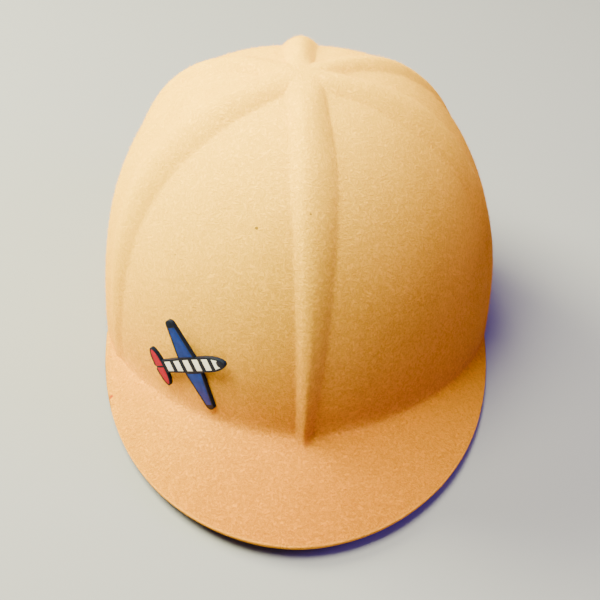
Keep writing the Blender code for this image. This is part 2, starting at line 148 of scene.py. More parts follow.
class Tree:
    """Adds nodes to a node tree and joins them."""

    def __init__(self, tree: bpy.types.NodeTree) -> None:
        """Keep the tree that the nodes go to."""
        self.tree = tree

    def add(self, kind: str, inputs: dict | None = None, **settings: object) -> bpy.types.Node:
        """Add one node.

        Args:
            kind: Blender's name of the node type.
            inputs: Values or output sockets for its inputs, by name or number.
            settings: Properties of the node itself.

        Returns:
            The new node.
        """
        node = self.tree.nodes.new(kind)
        for name, value in settings.items():
            setattr(node, name, value)
        self.fill(node, inputs or {})
        return node

    def fill(self, node: bpy.types.Node, inputs: dict) -> None:
        """Give a node's inputs constants, or the outputs of other nodes.

        Args:
            node: The node.
            inputs: Values or output sockets, by the input's name or number.
        """
        for key, value in inputs.items():
            if isinstance(value, bpy.types.NodeSocket):
                self.tree.links.new(value, node.inputs[key])
            else:
                node.inputs[key].default_value = value

    def math(self, operation: str, first: object, second: object = 0.0) -> bpy.types.NodeSocket:
        """The result of one operation on two values."""
        node = self.add("ShaderNodeMath", {0: first, 1: second}, operation=operation)
        return node.outputs[0]

    def plus(self, first: object, second: object, share: float) -> bpy.types.NodeSocket:
        """A value and a share of a second one."""
        return self.math("ADD", first, self.math("MULTIPLY", second, share))

    def between(self, first: object, second: object, share: float) -> bpy.types.NodeSocket:
        """A value at a share of the way from one to another."""
        return self.plus(self.math("MULTIPLY", first, 1 - share), second, share)

    def ramp(
        self, value: object, low: float, high: float, to_low: float = 0.0, to_high: float = 1.0
    ) -> bpy.types.NodeSocket:
        """Take a value smoothly from one range to another.

        Args:
            value: The value.
            low: Start of its range.
            high: End of its range.
            to_low: Result at the start and beyond.
            to_high: Result at the end and beyond.

        Returns:
            The result.
        """
        node = self.add(
            "ShaderNodeMapRange",
            {"Value": value, 1: low, 2: high, 3: to_low, 4: to_high},
            interpolation_type="SMOOTHSTEP",
        )
        return node.outputs[0]

    def mix(self, share: object, first: object, second: object) -> bpy.types.NodeSocket:
        """Mix two colours.

        Args:
            share: Share of the second one.
            first: The first one.
            second: The second one.

        Returns:
            The mixed colour.
        """
        node = self.add(
            "ShaderNodeMix", {0: share, 6: first, 7: second}, data_type="RGBA", clamp_factor=True
        )
        return node.outputs[2]

    def noise(
        self, place: object, scale: object, detail: float = 2.0, distortion: float = 0.0
    ) -> bpy.types.NodeSocket:
        """Make a cloudy value round NOISE_MIDDLE.

        Args:
            place: Where it is looked up.
            scale: Clouds in each metre.
            detail: Finer clouds that are laid over them.
            distortion: How far the clouds are pulled about.

        Returns:
            The value.
        """
        node = self.add(
            "ShaderNodeTexNoise",
            {"Vector": place, "Scale": scale, "Detail": detail, "Distortion": distortion},
        )
        return node.outputs["Fac"]

    def sway(self, place: object, scale: object, detail: float) -> bpy.types.NodeSocket:
        """A cloudy value round zero."""
        return self.math("SUBTRACT", self.noise(place, scale, detail), NOISE_MIDDLE)

    def attribute(self, name: str) -> bpy.types.NodeSocket:
        """A mask that the mesh carries."""
        return self.add("ShaderNodeAttribute", attribute_name=name).outputs["Fac"]

    def tint(self, colour: object, saturation: object, value: object) -> bpy.types.NodeSocket:
        """Change a colour's strength and brightness.

        Args:
            colour: The colour.
            saturation: What its saturation is multiplied by.
            value: What its brightness is multiplied by.

        Returns:
            The changed colour.
        """
        node = self.add(
            "ShaderNodeHueSaturation", {"Color": colour, "Saturation": saturation, "Value": value}
        )
        return node.outputs[0]

    def bump(self, height: object, strength: float, depth: float) -> bpy.types.NodeSocket:
        """The surface's direction after a height is laid on it."""
        node = self.add("ShaderNodeBump", {"Strength": strength, "Distance": depth, "Height": height})
        return node.outputs["Normal"]


def new_group(name: str, inputs: dict[str, tuple[str, object]], outputs: dict[str, str]) -> tuple:
    """Start a shader node group.

    Args:
        name: The group's name.
        inputs: Socket kind and default value of each input, by name.
        outputs: Socket kind of each output, by name.

    Returns:
        The group, its Tree, its input node and its output node.
    """
    group = bpy.data.node_groups.new(name, "ShaderNodeTree")
    for label, (kind, default) in inputs.items():
        socket = group.interface.new_socket(label, in_out="INPUT", socket_type=kind)
        if default is not None:
            socket.default_value = default
    for label, kind in outputs.items():
        group.interface.new_socket(label, in_out="OUTPUT", socket_type=kind)
    tree = Tree(group)
    return group, tree, tree.add("NodeGroupInput"), tree.add("NodeGroupOutput")


def wool_group() -> bpy.types.NodeTree:
    """Make the group for pressed wool: a mottle of short hairs, in colour and in height.

    Returns:
        The group, in which fine hairs and coarser tufts lie over wide clouds.
    """
    tuft_scale, tuft_share, hair_limits = 0.5, 0.45, (0.39, 0.61)
    cloud_scale, cloud_share, cloud_limits = 26.0, 0.2, (0.3, 0.7)
    group, tree, given, result = new_group(
        Effect.WOOL.value,
        {
            "Place": ("NodeSocketVector", None),
            "Light": ("NodeSocketColor", (1.0, 1.0, 1.0, 1.0)),
            "Dark": ("NodeSocketColor", (0.5, 0.5, 0.5, 1.0)),
            "Grain": ("NodeSocketFloat", 900.0),
            "Contrast": ("NodeSocketFloat", 0.5),
        },
        {"Color": "NodeSocketColor", "Height": "NodeSocketFloat"},
    )
    place = given.outputs["Place"]
    grain = given.outputs["Grain"]
    fine = tree.noise(place, grain, detail=3.0, distortion=1.6)
    tufts = tree.noise(place, tree.math("MULTIPLY", grain, tuft_scale), detail=2.0, distortion=0.9)
    height = tree.ramp(tree.between(fine, tufts, tuft_share), *hair_limits)
    clouds = tree.ramp(tree.noise(place, cloud_scale, detail=2.0), *cloud_limits)
    depth = tree.between(height, clouds, cloud_share)
    share = tree.math("MULTIPLY", tree.math("SUBTRACT", 1.0, depth), given.outputs["Contrast"])
    colour = tree.mix(share, given.outputs["Light"], given.outputs["Dark"])
    tree.fill(result, {"Color": colour, "Height": height})
    return group


def mark_group() -> bpy.types.NodeTree:
    """Make the group for one small mark: a ragged spot round a place, as a mask.

    Returns:
        The group, whose mask fades out where the spot ends.
    """
    rag_scale, clear_at, full_at = 1500.0, 1.1, 0.6
    group, tree, given, result = new_group(
        Effect.MARK.value,
        {
            "Place": ("NodeSocketVector", None),
            "Centre": ("NodeSocketVector", None),
            "Radius": ("NodeSocketFloat", MM),
        },
        {"Mask": "NodeSocketFloat"},
    )
    place = given.outputs["Place"]
    away = tree.add(
        "ShaderNodeVectorMath", {0: place, 1: given.outputs["Centre"]}, operation="DISTANCE"
    ).outputs["Value"]
    share = tree.math("DIVIDE", away, given.outputs["Radius"])
    share = tree.math("ADD", share, tree.sway(place, rag_scale, detail=1.0))
    tree.fill(result, {"Mask": tree.ramp(share, clear_at, full_at)})
    return group


def wear_group() -> bpy.types.NodeTree:
    """Make the group for handled metal and enamel: faint smudges and fine scratches.

    Returns:
        The group, which puts out both as masks.
    """
    smudge_scale, smudge_limits = 260.0, (0.35, 0.7)
    scratch_scale, scratch_limits, stretch = 420.0, (0.62, 0.7), (1.0, 14.0, 1.0)
    group, tree, given, result = new_group(
        Effect.WEAR.value,
        {"Place": ("NodeSocketVector", None), "Amount": ("NodeSocketFloat", 0.5)},
        {"Smudge": "NodeSocketFloat", "Scratch": "NodeSocketFloat"},
    )
    place = given.outputs["Place"]
    smudge = tree.ramp(tree.noise(place, smudge_scale, detail=3.0), *smudge_limits)
    streaked = tree.add("ShaderNodeMapping", {"Vector": place, "Scale": stretch})
    lines = tree.noise(streaked.outputs[0], scratch_scale, detail=4.0, distortion=0.4)
    masks = {"Smudge": smudge, "Scratch": tree.ramp(lines, *scratch_limits)}
    for label, mask in masks.items():
        tree.fill(result, {label: tree.math("MULTIPLY", mask, given.outputs["Amount"])})
    return group


def effect_node(tree: Tree, effect: Effect, inputs: dict) -> bpy.types.Node:
    """Place a shared effect in a material, and build its group the first time.

    Args:
        tree: The material's tree.
        effect: The effect.
        inputs: Values or sockets for the group's inputs.

    Returns:
        The group's node.
    """
    makers = {Effect.WOOL: wool_group, Effect.MARK: mark_group, Effect.WEAR: wear_group}
    group = bpy.data.node_groups.get(effect.value) or makers[effect]()
    node = tree.add("ShaderNodeGroup", node_tree=group)
    tree.fill(node, inputs)
    return node


def new_material(name: str) -> tuple[bpy.types.Material, Tree, bpy.types.Node]:
    """Start a material with a Principled shader.

    Args:
        name: The material's name.

    Returns:
        The material, its Tree and its shader node.
    """
    material = bpy.data.materials.new(name)
    material.use_nodes = True
    shader = material.node_tree.nodes["Principled BSDF"]
    return material, Tree(material.node_tree), shader


def object_place(tree: Tree) -> bpy.types.NodeSocket:
    """Object coordinates, in metres."""
    return tree.add("ShaderNodeTexCoord").outputs["Object"]


def rgba(red: float, green: float, blue: float) -> tuple[float, float, float, float]:
    """A solid colour with its alpha."""
    return (red, green, blue, 1.0)


@dataclass(frozen=True)
class Mark:
    """A small mark on the felt, at an azimuth in degrees and a level down the felt."""

    azimuth: float
    level: float
    region: Region
    radius: float
    colour: tuple


MARKS = (
    Mark(-18.75, 0.513, Region.CROWN, 0.75 * MM, rgba(0.16, 0.09, 0.012)),
    Mark(-43.75, 0.672, Region.CROWN, 0.4 * MM, rgba(0.20, 0.11, 0.015)),
    Mark(4.75, 0.456, Region.CROWN, 0.4 * MM, rgba(0.22, 0.12, 0.015)),
    Mark(-55.75, 0.895, Region.PEAK, 1.15 * MM, rgba(0.30, 0.012, 0.003)),
)


@dataclass(frozen=True)
class FeltFinish:
    """Short-haired wool felt, with painted light towards the top and the left side, painted
    shade towards the bottom and the right side, and painted shade over the peak.

    The painted light runs along a direction, from shaded honey to lit cream between two
    levels, and its limit drifts. The cut edge and the peak's painted shade are masks that the
    mesh carries.
    """

    # Colours at the two ends of the painted light and shade: cream where it is lit, honey where it is
    # shaded.
    lit_cream: tuple = rgba(0.97, 0.535, 0.032)
    shaded_honey: tuple = rgba(0.72, 0.258, 0.016)
    # Direction of the painted light: up and towards -X, the left side.
    painted_light_direction: tuple[float, float, float] = (-0.60, 0.0, 1.0)
    painted_shade_end: float = 2 * MM
    painted_light_end: float = 138 * MM
    painted_light_drift: float = 30 * MM
    drift_scale: float = 9.0
    # Brightness and saturation of the painted shade on the peak, where its mask is full.
    peak_shade_value: float = 0.83
    peak_shade_saturation: float = 1.06
    cut_edge: tuple = rgba(0.80, 0.33, 0.020)
    cut_share: float = 0.6
    dark_value: float = 0.62
    dark_saturation: float = 1.12
    grain: float = 1500.0
    contrast: float = 1.0
    # Grain contrast at the lit end of the painted light.
    lit_end_contrast: float = 0.55
    bump: float = 1.0
    bump_depth: float = 0.26 * MM
    roughness: float = 0.95
    specular: float = 0.06
    sheen: float = 0.35
    sheen_roughness: float = 0.45
    sheen_tint: tuple = rgba(1.0, 0.58, 0.06)

    def material(
        self, name: str, hairs: bool = False, marks: Sequence[tuple[Mark, Vector]] = ()
    ) -> bpy.types.Material:
        """Build the material.

        Args:
            name: The material's name.
            hairs: True for loose hairs, which take the colour and no bump.
            marks: Small marks, each with its place.

        Returns:
            The felt's material.
        """
        material, tree, shader = new_material(name)
        place = object_place(tree)
        # Painted light and shade: the colour runs from shaded honey at the bottom right to lit cream at
        # the top left, with a drifting limit.
        reach = tree.add(
            "ShaderNodeVectorMath", {0: place, 1: self.painted_light_direction}, operation="DOT_PRODUCT"
        ).outputs["Value"]
        drift = tree.sway(place, self.drift_scale, detail=2.0)
        level = tree.plus(reach, drift, self.painted_light_drift)
        light = tree.mix(tree.ramp(level, self.painted_shade_end, self.painted_light_end), self.shaded_honey, self.lit_cream)
        # Painted shade on the peak, from its mask.
        peak_shade = tree.attribute(PEAK_SHADE)
        light = tree.tint(
            light,
            tree.ramp(peak_shade, 0, 1, 1, self.peak_shade_saturation),
            tree.ramp(peak_shade, 0, 1, 1, self.peak_shade_value),
        )
        # The grain contrast falls towards the lit end of the painted light.
        contrast = tree.ramp(level, self.painted_shade_end, self.painted_light_end, self.contrast, self.lit_end_contrast)
        dark = tree.tint(light, self.dark_saturation, self.dark_value)
        wool = effect_node(
            tree,
            Effect.WOOL,
            {"Place": place, "Light": light, "Dark": dark, "Grain": self.grain, "Contrast": contrast},
        ).outputs
        cut = tree.math("MULTIPLY", tree.attribute(Region.EDGE.value), self.cut_share)
        colour = tree.mix(cut, wool["Color"], self.cut_edge)
        for mark, centre in marks:
            spot = {"Place": place, "Centre": centre, "Radius": mark.radius}
            mask = effect_node(tree, Effect.MARK, spot).outputs["Mask"]
            colour = tree.mix(mask, colour, mark.colour)
        dressing = {
            "Base Color": colour,
            "Roughness": self.roughness,
            "Specular IOR Level": self.specular,
            "Sheen Weight": self.sheen,
            "Sheen Roughness": self.sheen_roughness,
            "Sheen Tint": self.sheen_tint,
        }
        tree.fill(shader, dressing)
        if not hairs:
            tree.fill(shader, {"Normal": tree.bump(wool["Height"], self.bump, self.bump_depth)})
        return material


@dataclass(frozen=True)
class MetalFinish:
    """Plated or blackened metal, with smudges and fine scratches."""

    colour: tuple
    worn: tuple
    roughness: float
    metallic: float = 1.0
    specular: float = 0.5
    wear: float = 0.6
    smudge_roughness: float = 0.18
    scratch_bump: float = 0.15
    scratch_depth: float = 0.02 * MM

    def material(self, name: str) -> bpy.types.Material:
        """Build the material.

        Args:
            name: The material's name.

        Returns:
            The metal's material.
        """
        material, tree, shader = new_material(name)
        spots = {"Place": object_place(tree), "Amount": self.wear}
        wear = effect_node(tree, Effect.WEAR, spots).outputs
        dressing = {
            "Base Color": tree.mix(wear["Scratch"], self.colour, self.worn),
            "Metallic": self.metallic,
            "Roughness": tree.plus(self.roughness, wear["Smudge"], self.smudge_roughness),
            "Specular IOR Level": self.specular,
            "Normal": tree.bump(wear["Scratch"], self.scratch_bump, self.scratch_depth),
        }
        tree.fill(shader, dressing)
        return material


@dataclass(frozen=True)
class EnamelFinish:
    """Glossy fired enamel, a little uneven in depth."""

    colour: tuple
    deep: tuple
    roughness: float = 0.2
    specular: float = 0.10
    coat: float = 0.02
    coat_roughness: float = 0.06
    pooling_scale: float = 330.0
    pooling_limits: tuple[float, float] = (0.3, 0.75)
    wear: float = 0.4
    smudge_roughness: float = 0.15

    def material(self, name: str) -> bpy.types.Material:
        """Build the material.

        Args:
            name: The material's name.

        Returns:
            The enamel's material.
        """
        material, tree, shader = new_material(name)
        place = object_place(tree)
        pooled = tree.ramp(tree.noise(place, self.pooling_scale, detail=2.0), *self.pooling_limits)
        wear = effect_node(tree, Effect.WEAR, {"Place": place, "Amount": self.wear}).outputs
        dressing = {
            "Base Color": tree.mix(pooled, self.colour, self.deep),
            "Roughness": tree.plus(self.roughness, wear["Smudge"], self.smudge_roughness),
            "Specular IOR Level": self.specular,
            "Coat Weight": self.coat,
            "Coat Roughness": self.coat_roughness,
        }
        tree.fill(shader, dressing)
        return material


@dataclass(frozen=True)
class FloorFinish:
    """Plain pale matt floor, with faint darker clouds."""

    colour: tuple = rgba(0.185, 0.19, 0.265)
    cloud_value: float = 0.97
    cloud_scale: float = 6.0
    roughness: float = 0.9

    def material(self, name: str) -> bpy.types.Material:
        """Build the material.

        Args:
            name: The material's name.

        Returns:
            The floor's material.
        """
        material, tree, shader = new_material(name)
        clouds = tree.noise(object_place(tree), self.cloud_scale, detail=2.0)
        darker = rgba(*(self.cloud_value * value for value in self.colour[:3]))
        colour = tree.mix(clouds, self.colour, darker)
        tree.fill(shader, {"Base Color": colour, "Roughness": self.roughness})
        return material


FELT = FeltFinish()
DARK_METAL = MetalFinish(
    rgba(0.002, 0.005, 0.018), rgba(0.015, 0.022, 0.05), 0.35, metallic=0.0, specular=0.08
)
BRASS = MetalFinish(rgba(0.72, 0.49, 0.19), rgba(0.85, 0.66, 0.34), 0.24)
BLUE_ENAMEL = EnamelFinish(rgba(0.002, 0.024, 0.25), rgba(0.0015, 0.017, 0.17))
WHITE_ENAMEL = EnamelFinish(rgba(0.98, 0.98, 1.0), rgba(0.95, 0.96, 1.0), coat=0.2)
RED_ENAMEL = EnamelFinish(rgba(0.40, 0.001, 0.024), rgba(0.31, 0.001, 0.017))


@dataclass(frozen=True)
class Rib:
    """A pressed rib, with a steep flank that ends sharply and a gentle back.

    Azimuths and the bow are in degrees, heights and width are shares of the form's. A crest
    is a ridge with 1 and flatter with more.
    """

    at_hub: float
    at_rim: float
    hub_height: float
    rim_height: float
    flank: Flank
    bow: float = 0.0
    width: float = 1.0
    hub_crest: float = 1.8
    rim_crest: float = 1.8

    def azimuth(self, along: np.ndarray) -> np.ndarray:
        """Azimuth of the crest, in radians."""
        bent = self.bow * 4 * along * (1 - along)
        return np.radians(self.at_hub + (self.at_rim - self.at_hub) * along + bent)

    def height(self, along: np.ndarray) -> np.ndarray:
        """Share of the ribs' height that this crest stands out."""
        return self.hub_height + (self.rim_height - self.hub_height) * along**2

    def crest(self, along: np.ndarray) -> np.ndarray:
        """How flat the crest is."""
        return self.hub_crest + (self.rim_crest - self.hub_crest) * along


@dataclass(frozen=True)
class FeltForm:
    """The cap's outer surface, with the solid's own sizes."""

    wall: float = 2.4 * MM
    half_width: float = 86.5 * MM
    front_reach: float = 99.7 * MM
    back_reach: float = 98.3 * MM
    crown_height: float = 140.3 * MM
    hub_forward: float = 18.0 * MM
    side_lean: float = 0.9 * MM
    front_roundness: float = 1.65
    back_roundness: float = 2.0
    front_fullness: float = 2.52
    side_fullness: float = 2.36
    back_fullness: float = 1.8
    height_fullness: float = 2.49
    belly: float = 0.012
    ear_azimuth: float = math.radians(88)
    fold_height: float = 22.9 * MM
    fold_sweep: float = 1.2
    peak_breadth: float = 46.2 * MM
    peak_taper: float = 1.9
    peak_start: float = 0.6 * MM
    peak_lift: float = 4.2 * MM
    peak_lift_sweep: float = 3.0
    peak_arch: float = 1.5 * MM
    peak_settle: float = 6.0 * MM
    rib_height: float = 4.2 * MM
    rib_flank: float = 8.9 * MM
    rib_back: float = 14.5 * MM
    rib_hub_narrowing: float = 0.6
    rib_full_width_along: float = 0.35
    rib_crowding: float = math.radians(21)
    rib_rim_narrowing: float = 0.55
    rib_closing: float = 4.0
    rib_foot_sharpness: float = 12.0
    hub_rise: float = 3.75 * MM
    hub_radius: float = 22.0 * MM
    slope_step: float = 0.001
    slope_start: float = 0.02
    ribs: tuple[Rib, ...] = (
        Rib(8.0, 3.0, 1.0, 1.1, Flank.BOTH, width=1.32, hub_crest=2.4, rim_crest=1.2),
        Rib(70.0, 81.0, 0.8, 0.1, Flank.SMALLER),
        Rib(119.0, 119.0, 0.7, 0.15, Flank.SMALLER),
        Rib(180.0, 180.0, 1.05, 0.25, Flank.BOTH, width=1.2),
        Rib(246.0, 241.5, 0.65, 0.35, Flank.LARGER),
        Rib(306.0, 292.5, 1.0, 0.2, Flank.LARGER, bow=-4.0),
    )

    def frontness(self, azimuth: np.ndarray) -> np.ndarray:
        """Share of the way from the ears, 0, to the middle of the front, 1."""
        ear = math.cos(self.ear_azimuth)
        return np.maximum(np.cos(azimuth) - ear, 0) / (1 - ear)

    def peak_width(self, azimuth: np.ndarray) -> np.ndarray:
        """Width of the peak, level, from the fold to its edge."""
        width = self.peak_breadth * self.frontness(azimuth) ** self.peak_taper
        return np.where(width > self.peak_start, width, 0.0)

    def resting_rise(self, azimuth: np.ndarray) -> np.ndarray:
        """Height of the top of felt that lies on the floor beside the ears."""
        return self.wall * np.minimum(self.peak_width(azimuth) / self.peak_settle, 1.0)

    def rim(self, azimuth: np.ndarray) -> np.ndarray:
        """Foot of the crown's wall without ribs.

        Args:
            azimuth: Azimuths, in radians.

        Returns:
            One point for each azimuth.
        """
        facing = np.cos(azimuth)
        ahead = facing > 0
        roundness = np.where(ahead, self.front_roundness, self.back_roundness)
        reach = np.where(ahead, self.front_reach, self.back_reach)
        x = self.half_width * signed_power(np.sin(azimuth), 2 / roundness)
        y = -reach * signed_power(facing, 2 / roundness)
        fold = self.fold_height * self.frontness(azimuth) ** self.fold_sweep
        return np.stack([x, y, np.maximum(fold, self.resting_rise(azimuth))], -1)

    def rim_outward(self, azimuth: np.ndarray) -> np.ndarray:
        """Level direction straight out of the rim.

        Args:
            azimuth: Azimuths, in radians.

        Returns:
            One direction for each azimuth.
        """
        run = self.rim(azimuth + self.slope_step) - self.rim(azimuth - self.slope_step)
        out = np.stack([run[..., 1], -run[..., 0], np.zeros_like(azimuth)], -1)
        return out / np.linalg.norm(out, axis=-1, keepdims=True)

    def peak_height(self, azimuth: np.ndarray, share: np.ndarray) -> np.ndarray:
        """Height of the peak's top, at a share of its width from the fold.

        Args:
            azimuth: Azimuths, in radians.
            share: Shares of the width.

        Returns:
            One height for each azimuth and share.
        """
        facing = np.maximum(np.cos(azimuth), 0)
        fold = self.rim(azimuth)[..., 2]
        edge = self.resting_rise(azimuth) + self.peak_lift * facing**self.peak_lift_sweep
        bulge = 4 * share * (1 - share) * self.peak_width(azimuth) / self.peak_breadth
        return fold + (edge - fold) * share + self.peak_arch * bulge

    def crown_base(self, azimuth: np.ndarray, along: np.ndarray) -> np.ndarray:
        """The crown's outer surface without its ribs.

        Args:
            azimuth: Azimuths, in radians.
            along: Levels down the crown.

        Returns:
            One point for each azimuth and level.
        """
        foot = self.rim(azimuth)
        facing = np.cos(azimuth)
        turn = along * math.pi / 2
        end = np.where(facing > 0, self.front_fullness, self.back_fullness)
        fullness = self.side_fullness + (end - self.side_fullness) * facing**2
        rise = np.maximum(np.cos(turn), 0) ** (2 / self.height_fullness)
        belly = np.sin(math.pi * rise)
        spread = np.sin(turn) ** (2 / fullness) * (1 + self.belly * belly)
        x = foot[..., 0] * spread + self.side_lean * belly
        y = -self.hub_forward + (foot[..., 1] + self.hub_forward) * spread
        z = foot[..., 2] + (self.crown_height - foot[..., 2]) * rise
        return np.stack([x, y, z], -1)

    def outward(self, surface: Surface, azimuth: np.ndarray, along: np.ndarray) -> np.ndarray:
        """Direction straight out of a surface, which is straight up at the hub.

        Args:
            surface: The surface, as a function of azimuth and level.
            azimuth: Azimuths, in radians.
            along: Levels down the crown.

        Returns:
            One direction for each azimuth and level.
        """
        step = self.slope_step
        inner = np.clip(along, self.slope_start, 1 - step)
        across = surface(azimuth + step, inner) - surface(azimuth - step, inner)
        down = surface(azimuth, inner + step) - surface(azimuth, inner - step)
        out = np.cross(down, across)
        out /= np.linalg.norm(out, axis=-1, keepdims=True)
        return np.where((along <= 0)[..., None], np.array([0.0, 0.0, 1.0]), out)

    def hub_distance(self, azimuth: np.ndarray, along: np.ndarray) -> np.ndarray:
        """Level distance from the hub."""
        base = self.crown_base(azimuth, along)
        return np.hypot(base[..., 0], base[..., 1] + self.hub_forward)

    def rib_opening(self, along: np.ndarray) -> np.ndarray:
        """Share of their full width that the ribs have.

        Args:
            along: Levels down the crown.

        Returns:
            One share for each level, less at the hub and at the rim.
        """
        opening = np.minimum(along / self.rib_full_width_along, 1.0)
        hub_share = self.rib_hub_narrowing + (1 - self.rib_hub_narrowing) * opening
        return hub_share * (1 - self.rib_rim_narrowing * along**self.rib_closing)

    def rib_rise(self, rib: Rib, azimuth: np.ndarray, along: np.ndarray) -> np.ndarray:
        """How far one rib stands out of the crown.

        Args:
            rib: The rib.
            azimuth: Azimuths, in radians.
            along: Levels down the crown.

        Returns:
            One height for each azimuth and level.
        """
        turn = (azimuth - rib.azimuth(along) + math.pi) % (2 * math.pi) - math.pi
        steep = turn * rib.flank.value >= 0
        reach = np.where(steep, self.rib_flank, self.rib_back) * rib.width * self.rib_opening(along)
        share = np.minimum(np.abs(turn) * self.hub_distance(azimuth, along) / reach, 1.0)
        flank = 1 - share ** rib.crest(along)
        back = (1 + np.cos(math.pi * share)) / 2
        return self.rib_height * rib.height(along) * np.where(steep, flank, back)

    def creases(self, along: np.ndarray) -> np.ndarray:
        """Azimuths of every crest and sharp foot in order, one row for each level.

        Args:
            along: Levels down the crown.

        Returns:
            The azimuths, in radians.
        """
        lines = []
        for rib in self.ribs:
            crest = rib.azimuth(along)
            distance = np.maximum(self.hub_distance(crest, along), MM)
            reach = self.rib_flank * rib.width * self.rib_opening(along) / distance
            reach = np.minimum(reach, self.rib_crowding)
            before = [] if rib.flank is Flank.LARGER else [crest - reach]
            after = [] if rib.flank is Flank.SMALLER else [crest + reach]
            lines += before + [crest] + after
        return np.stack(lines, -1)

    def relief(self, azimuth: np.ndarray, along: np.ndarray) -> np.ndarray:
        """How far the ribs and the hub stand out of the crown.

        Args:
            azimuth: Azimuths, in radians.
            along: Levels down the crown.

        Returns:
            One height for each azimuth and level.
        """
        height = np.zeros(np.broadcast(azimuth, along).shape)
        for rib in self.ribs:
            height = np.maximum(height, self.rib_rise(rib, azimuth, along))
        near = np.maximum(1 - self.hub_distance(azimuth, along) / self.hub_radius, 0)
        blend = near * near * (3 - 2 * near)
        return height + (self.hub_rise - height) * blend

    def crown(self, azimuth: np.ndarray, along: np.ndarray) -> np.ndarray:
        """The crown's outer surface with its ribs, whose feet come down onto the peak.

        Args:
            azimuth: Azimuths, in radians.
            along: Levels down the crown.

        Returns:
            One point for each azimuth and level.
        """
        azimuth, along = np.broadcast_arrays(azimuth, along)
        out = self.outward(self.crown_base, azimuth, along)
        point = self.crown_base(azimuth, along) + out * self.relief(azimuth, along)[..., None]
        width = self.peak_width(azimuth)
        foot = self.relief(azimuth, np.ones_like(along))
        share = np.minimum(foot / np.maximum(width, WELD), 1.0)
        drop = self.rim(azimuth)[..., 2] - self.peak_height(azimuth, share)
        point[..., 2] -= np.where(width > 0, drop, 0) * along**self.rib_foot_sharpness
        return point

    def peak(self, azimuth: np.ndarray, share: np.ndarray) -> np.ndarray:
        """The peak's top, at a share of its width from the fold to its edge.

        Args:
            azimuth: Azimuths, in radians.
            share: Shares of the width.

        Returns:
            One point for each azimuth and share.
        """
        azimuth, share = np.broadcast_arrays(azimuth, share)
        width = self.peak_width(azimuth)
        start = np.minimum(self.relief(azimuth, np.ones_like(share)), width)
        distance = start + (width - start) * share
        point = self.rim(azimuth) + self.rim_outward(azimuth) * distance[..., None]
        point[..., 2] = self.peak_height(azimuth, distance / np.maximum(width, WELD))
        behind = (width == 0)[..., None]
        return np.where(behind, self.crown(azimuth, np.ones_like(share)), point)


def plain_mesh(item: bpy.types.Object) -> bpy.types.Object:
    """Turn an object's evaluated result into its own plain mesh.

    Args:
        item: An object with live modifiers.

    Returns:
        The same object, with no modifiers.
    """
    bpy.context.view_layer.update()
    graph = bpy.context.evaluated_depsgraph_get()
    mesh = bpy.data.meshes.new_from_object(item.evaluated_get(graph), depsgraph=graph)
    item.modifiers.clear()
    item.data = mesh
    return item


@contextmanager
def editing(mesh: bpy.types.Mesh) -> Iterator[bmesh.types.BMesh]:
    """Open a mesh for editing, and write it back at the end.

    Args:
        mesh: The mesh.

    Yields:
        Its editable form.
    """
    shape = bmesh.new()
    shape.from_mesh(mesh)
    yield shape
    shape.to_mesh(mesh)
    shape.free()


def new_object(name: str, data: bpy.types.ID) -> bpy.types.Object:
    """Put an object into the scene, at the origin.

    Args:
        name: The object's name.
        data: Its mesh, light or camera.

    Returns:
        The object.
    """
    item = bpy.data.objects.new(name, data)
    bpy.context.scene.collection.objects.link(item)
    return item


def bevel_edges(item: bpy.types.Object, width: float, segments: int) -> None:
    """Round an object's edges with a live bevel.

    Args:
        item: The object.
        width: How far the bevel reaches from an edge.
        segments: Steps round it.
    """
    bevel = item.modifiers.new("edges", "BEVEL")
    bevel.width = width
    bevel.segments = segments
    bevel.limit_method = "ANGLE"
    bevel.angle_limit = BEVELLED_ANGLE


def shade(item: bpy.types.Object) -> None:
    """Shade an object smooth, but for its sharp edges."""
    item.data.shade_smooth()
    item.data.set_sharp_from_angle(angle=SHARP_ANGLE)


def dress(item: bpy.types.Object, material: bpy.types.Material) -> None:
    """Give an object one material."""
    item.data.materials.clear()
    item.data.materials.append(material)


def seat_in_frame(item: bpy.types.Object, nodes: Sequence[str] = ()) -> None:
    """Tell the frame what a finished piece is.

    Args:
        item: The piece.
        nodes: Solids that it stands for.
    """
    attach(item, BODY)
    if nodes:
        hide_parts(*nodes)
    log.info("%s: %d faces, for %s", item.name, len(item.data.polygons), ", ".join(nodes) or "itself")


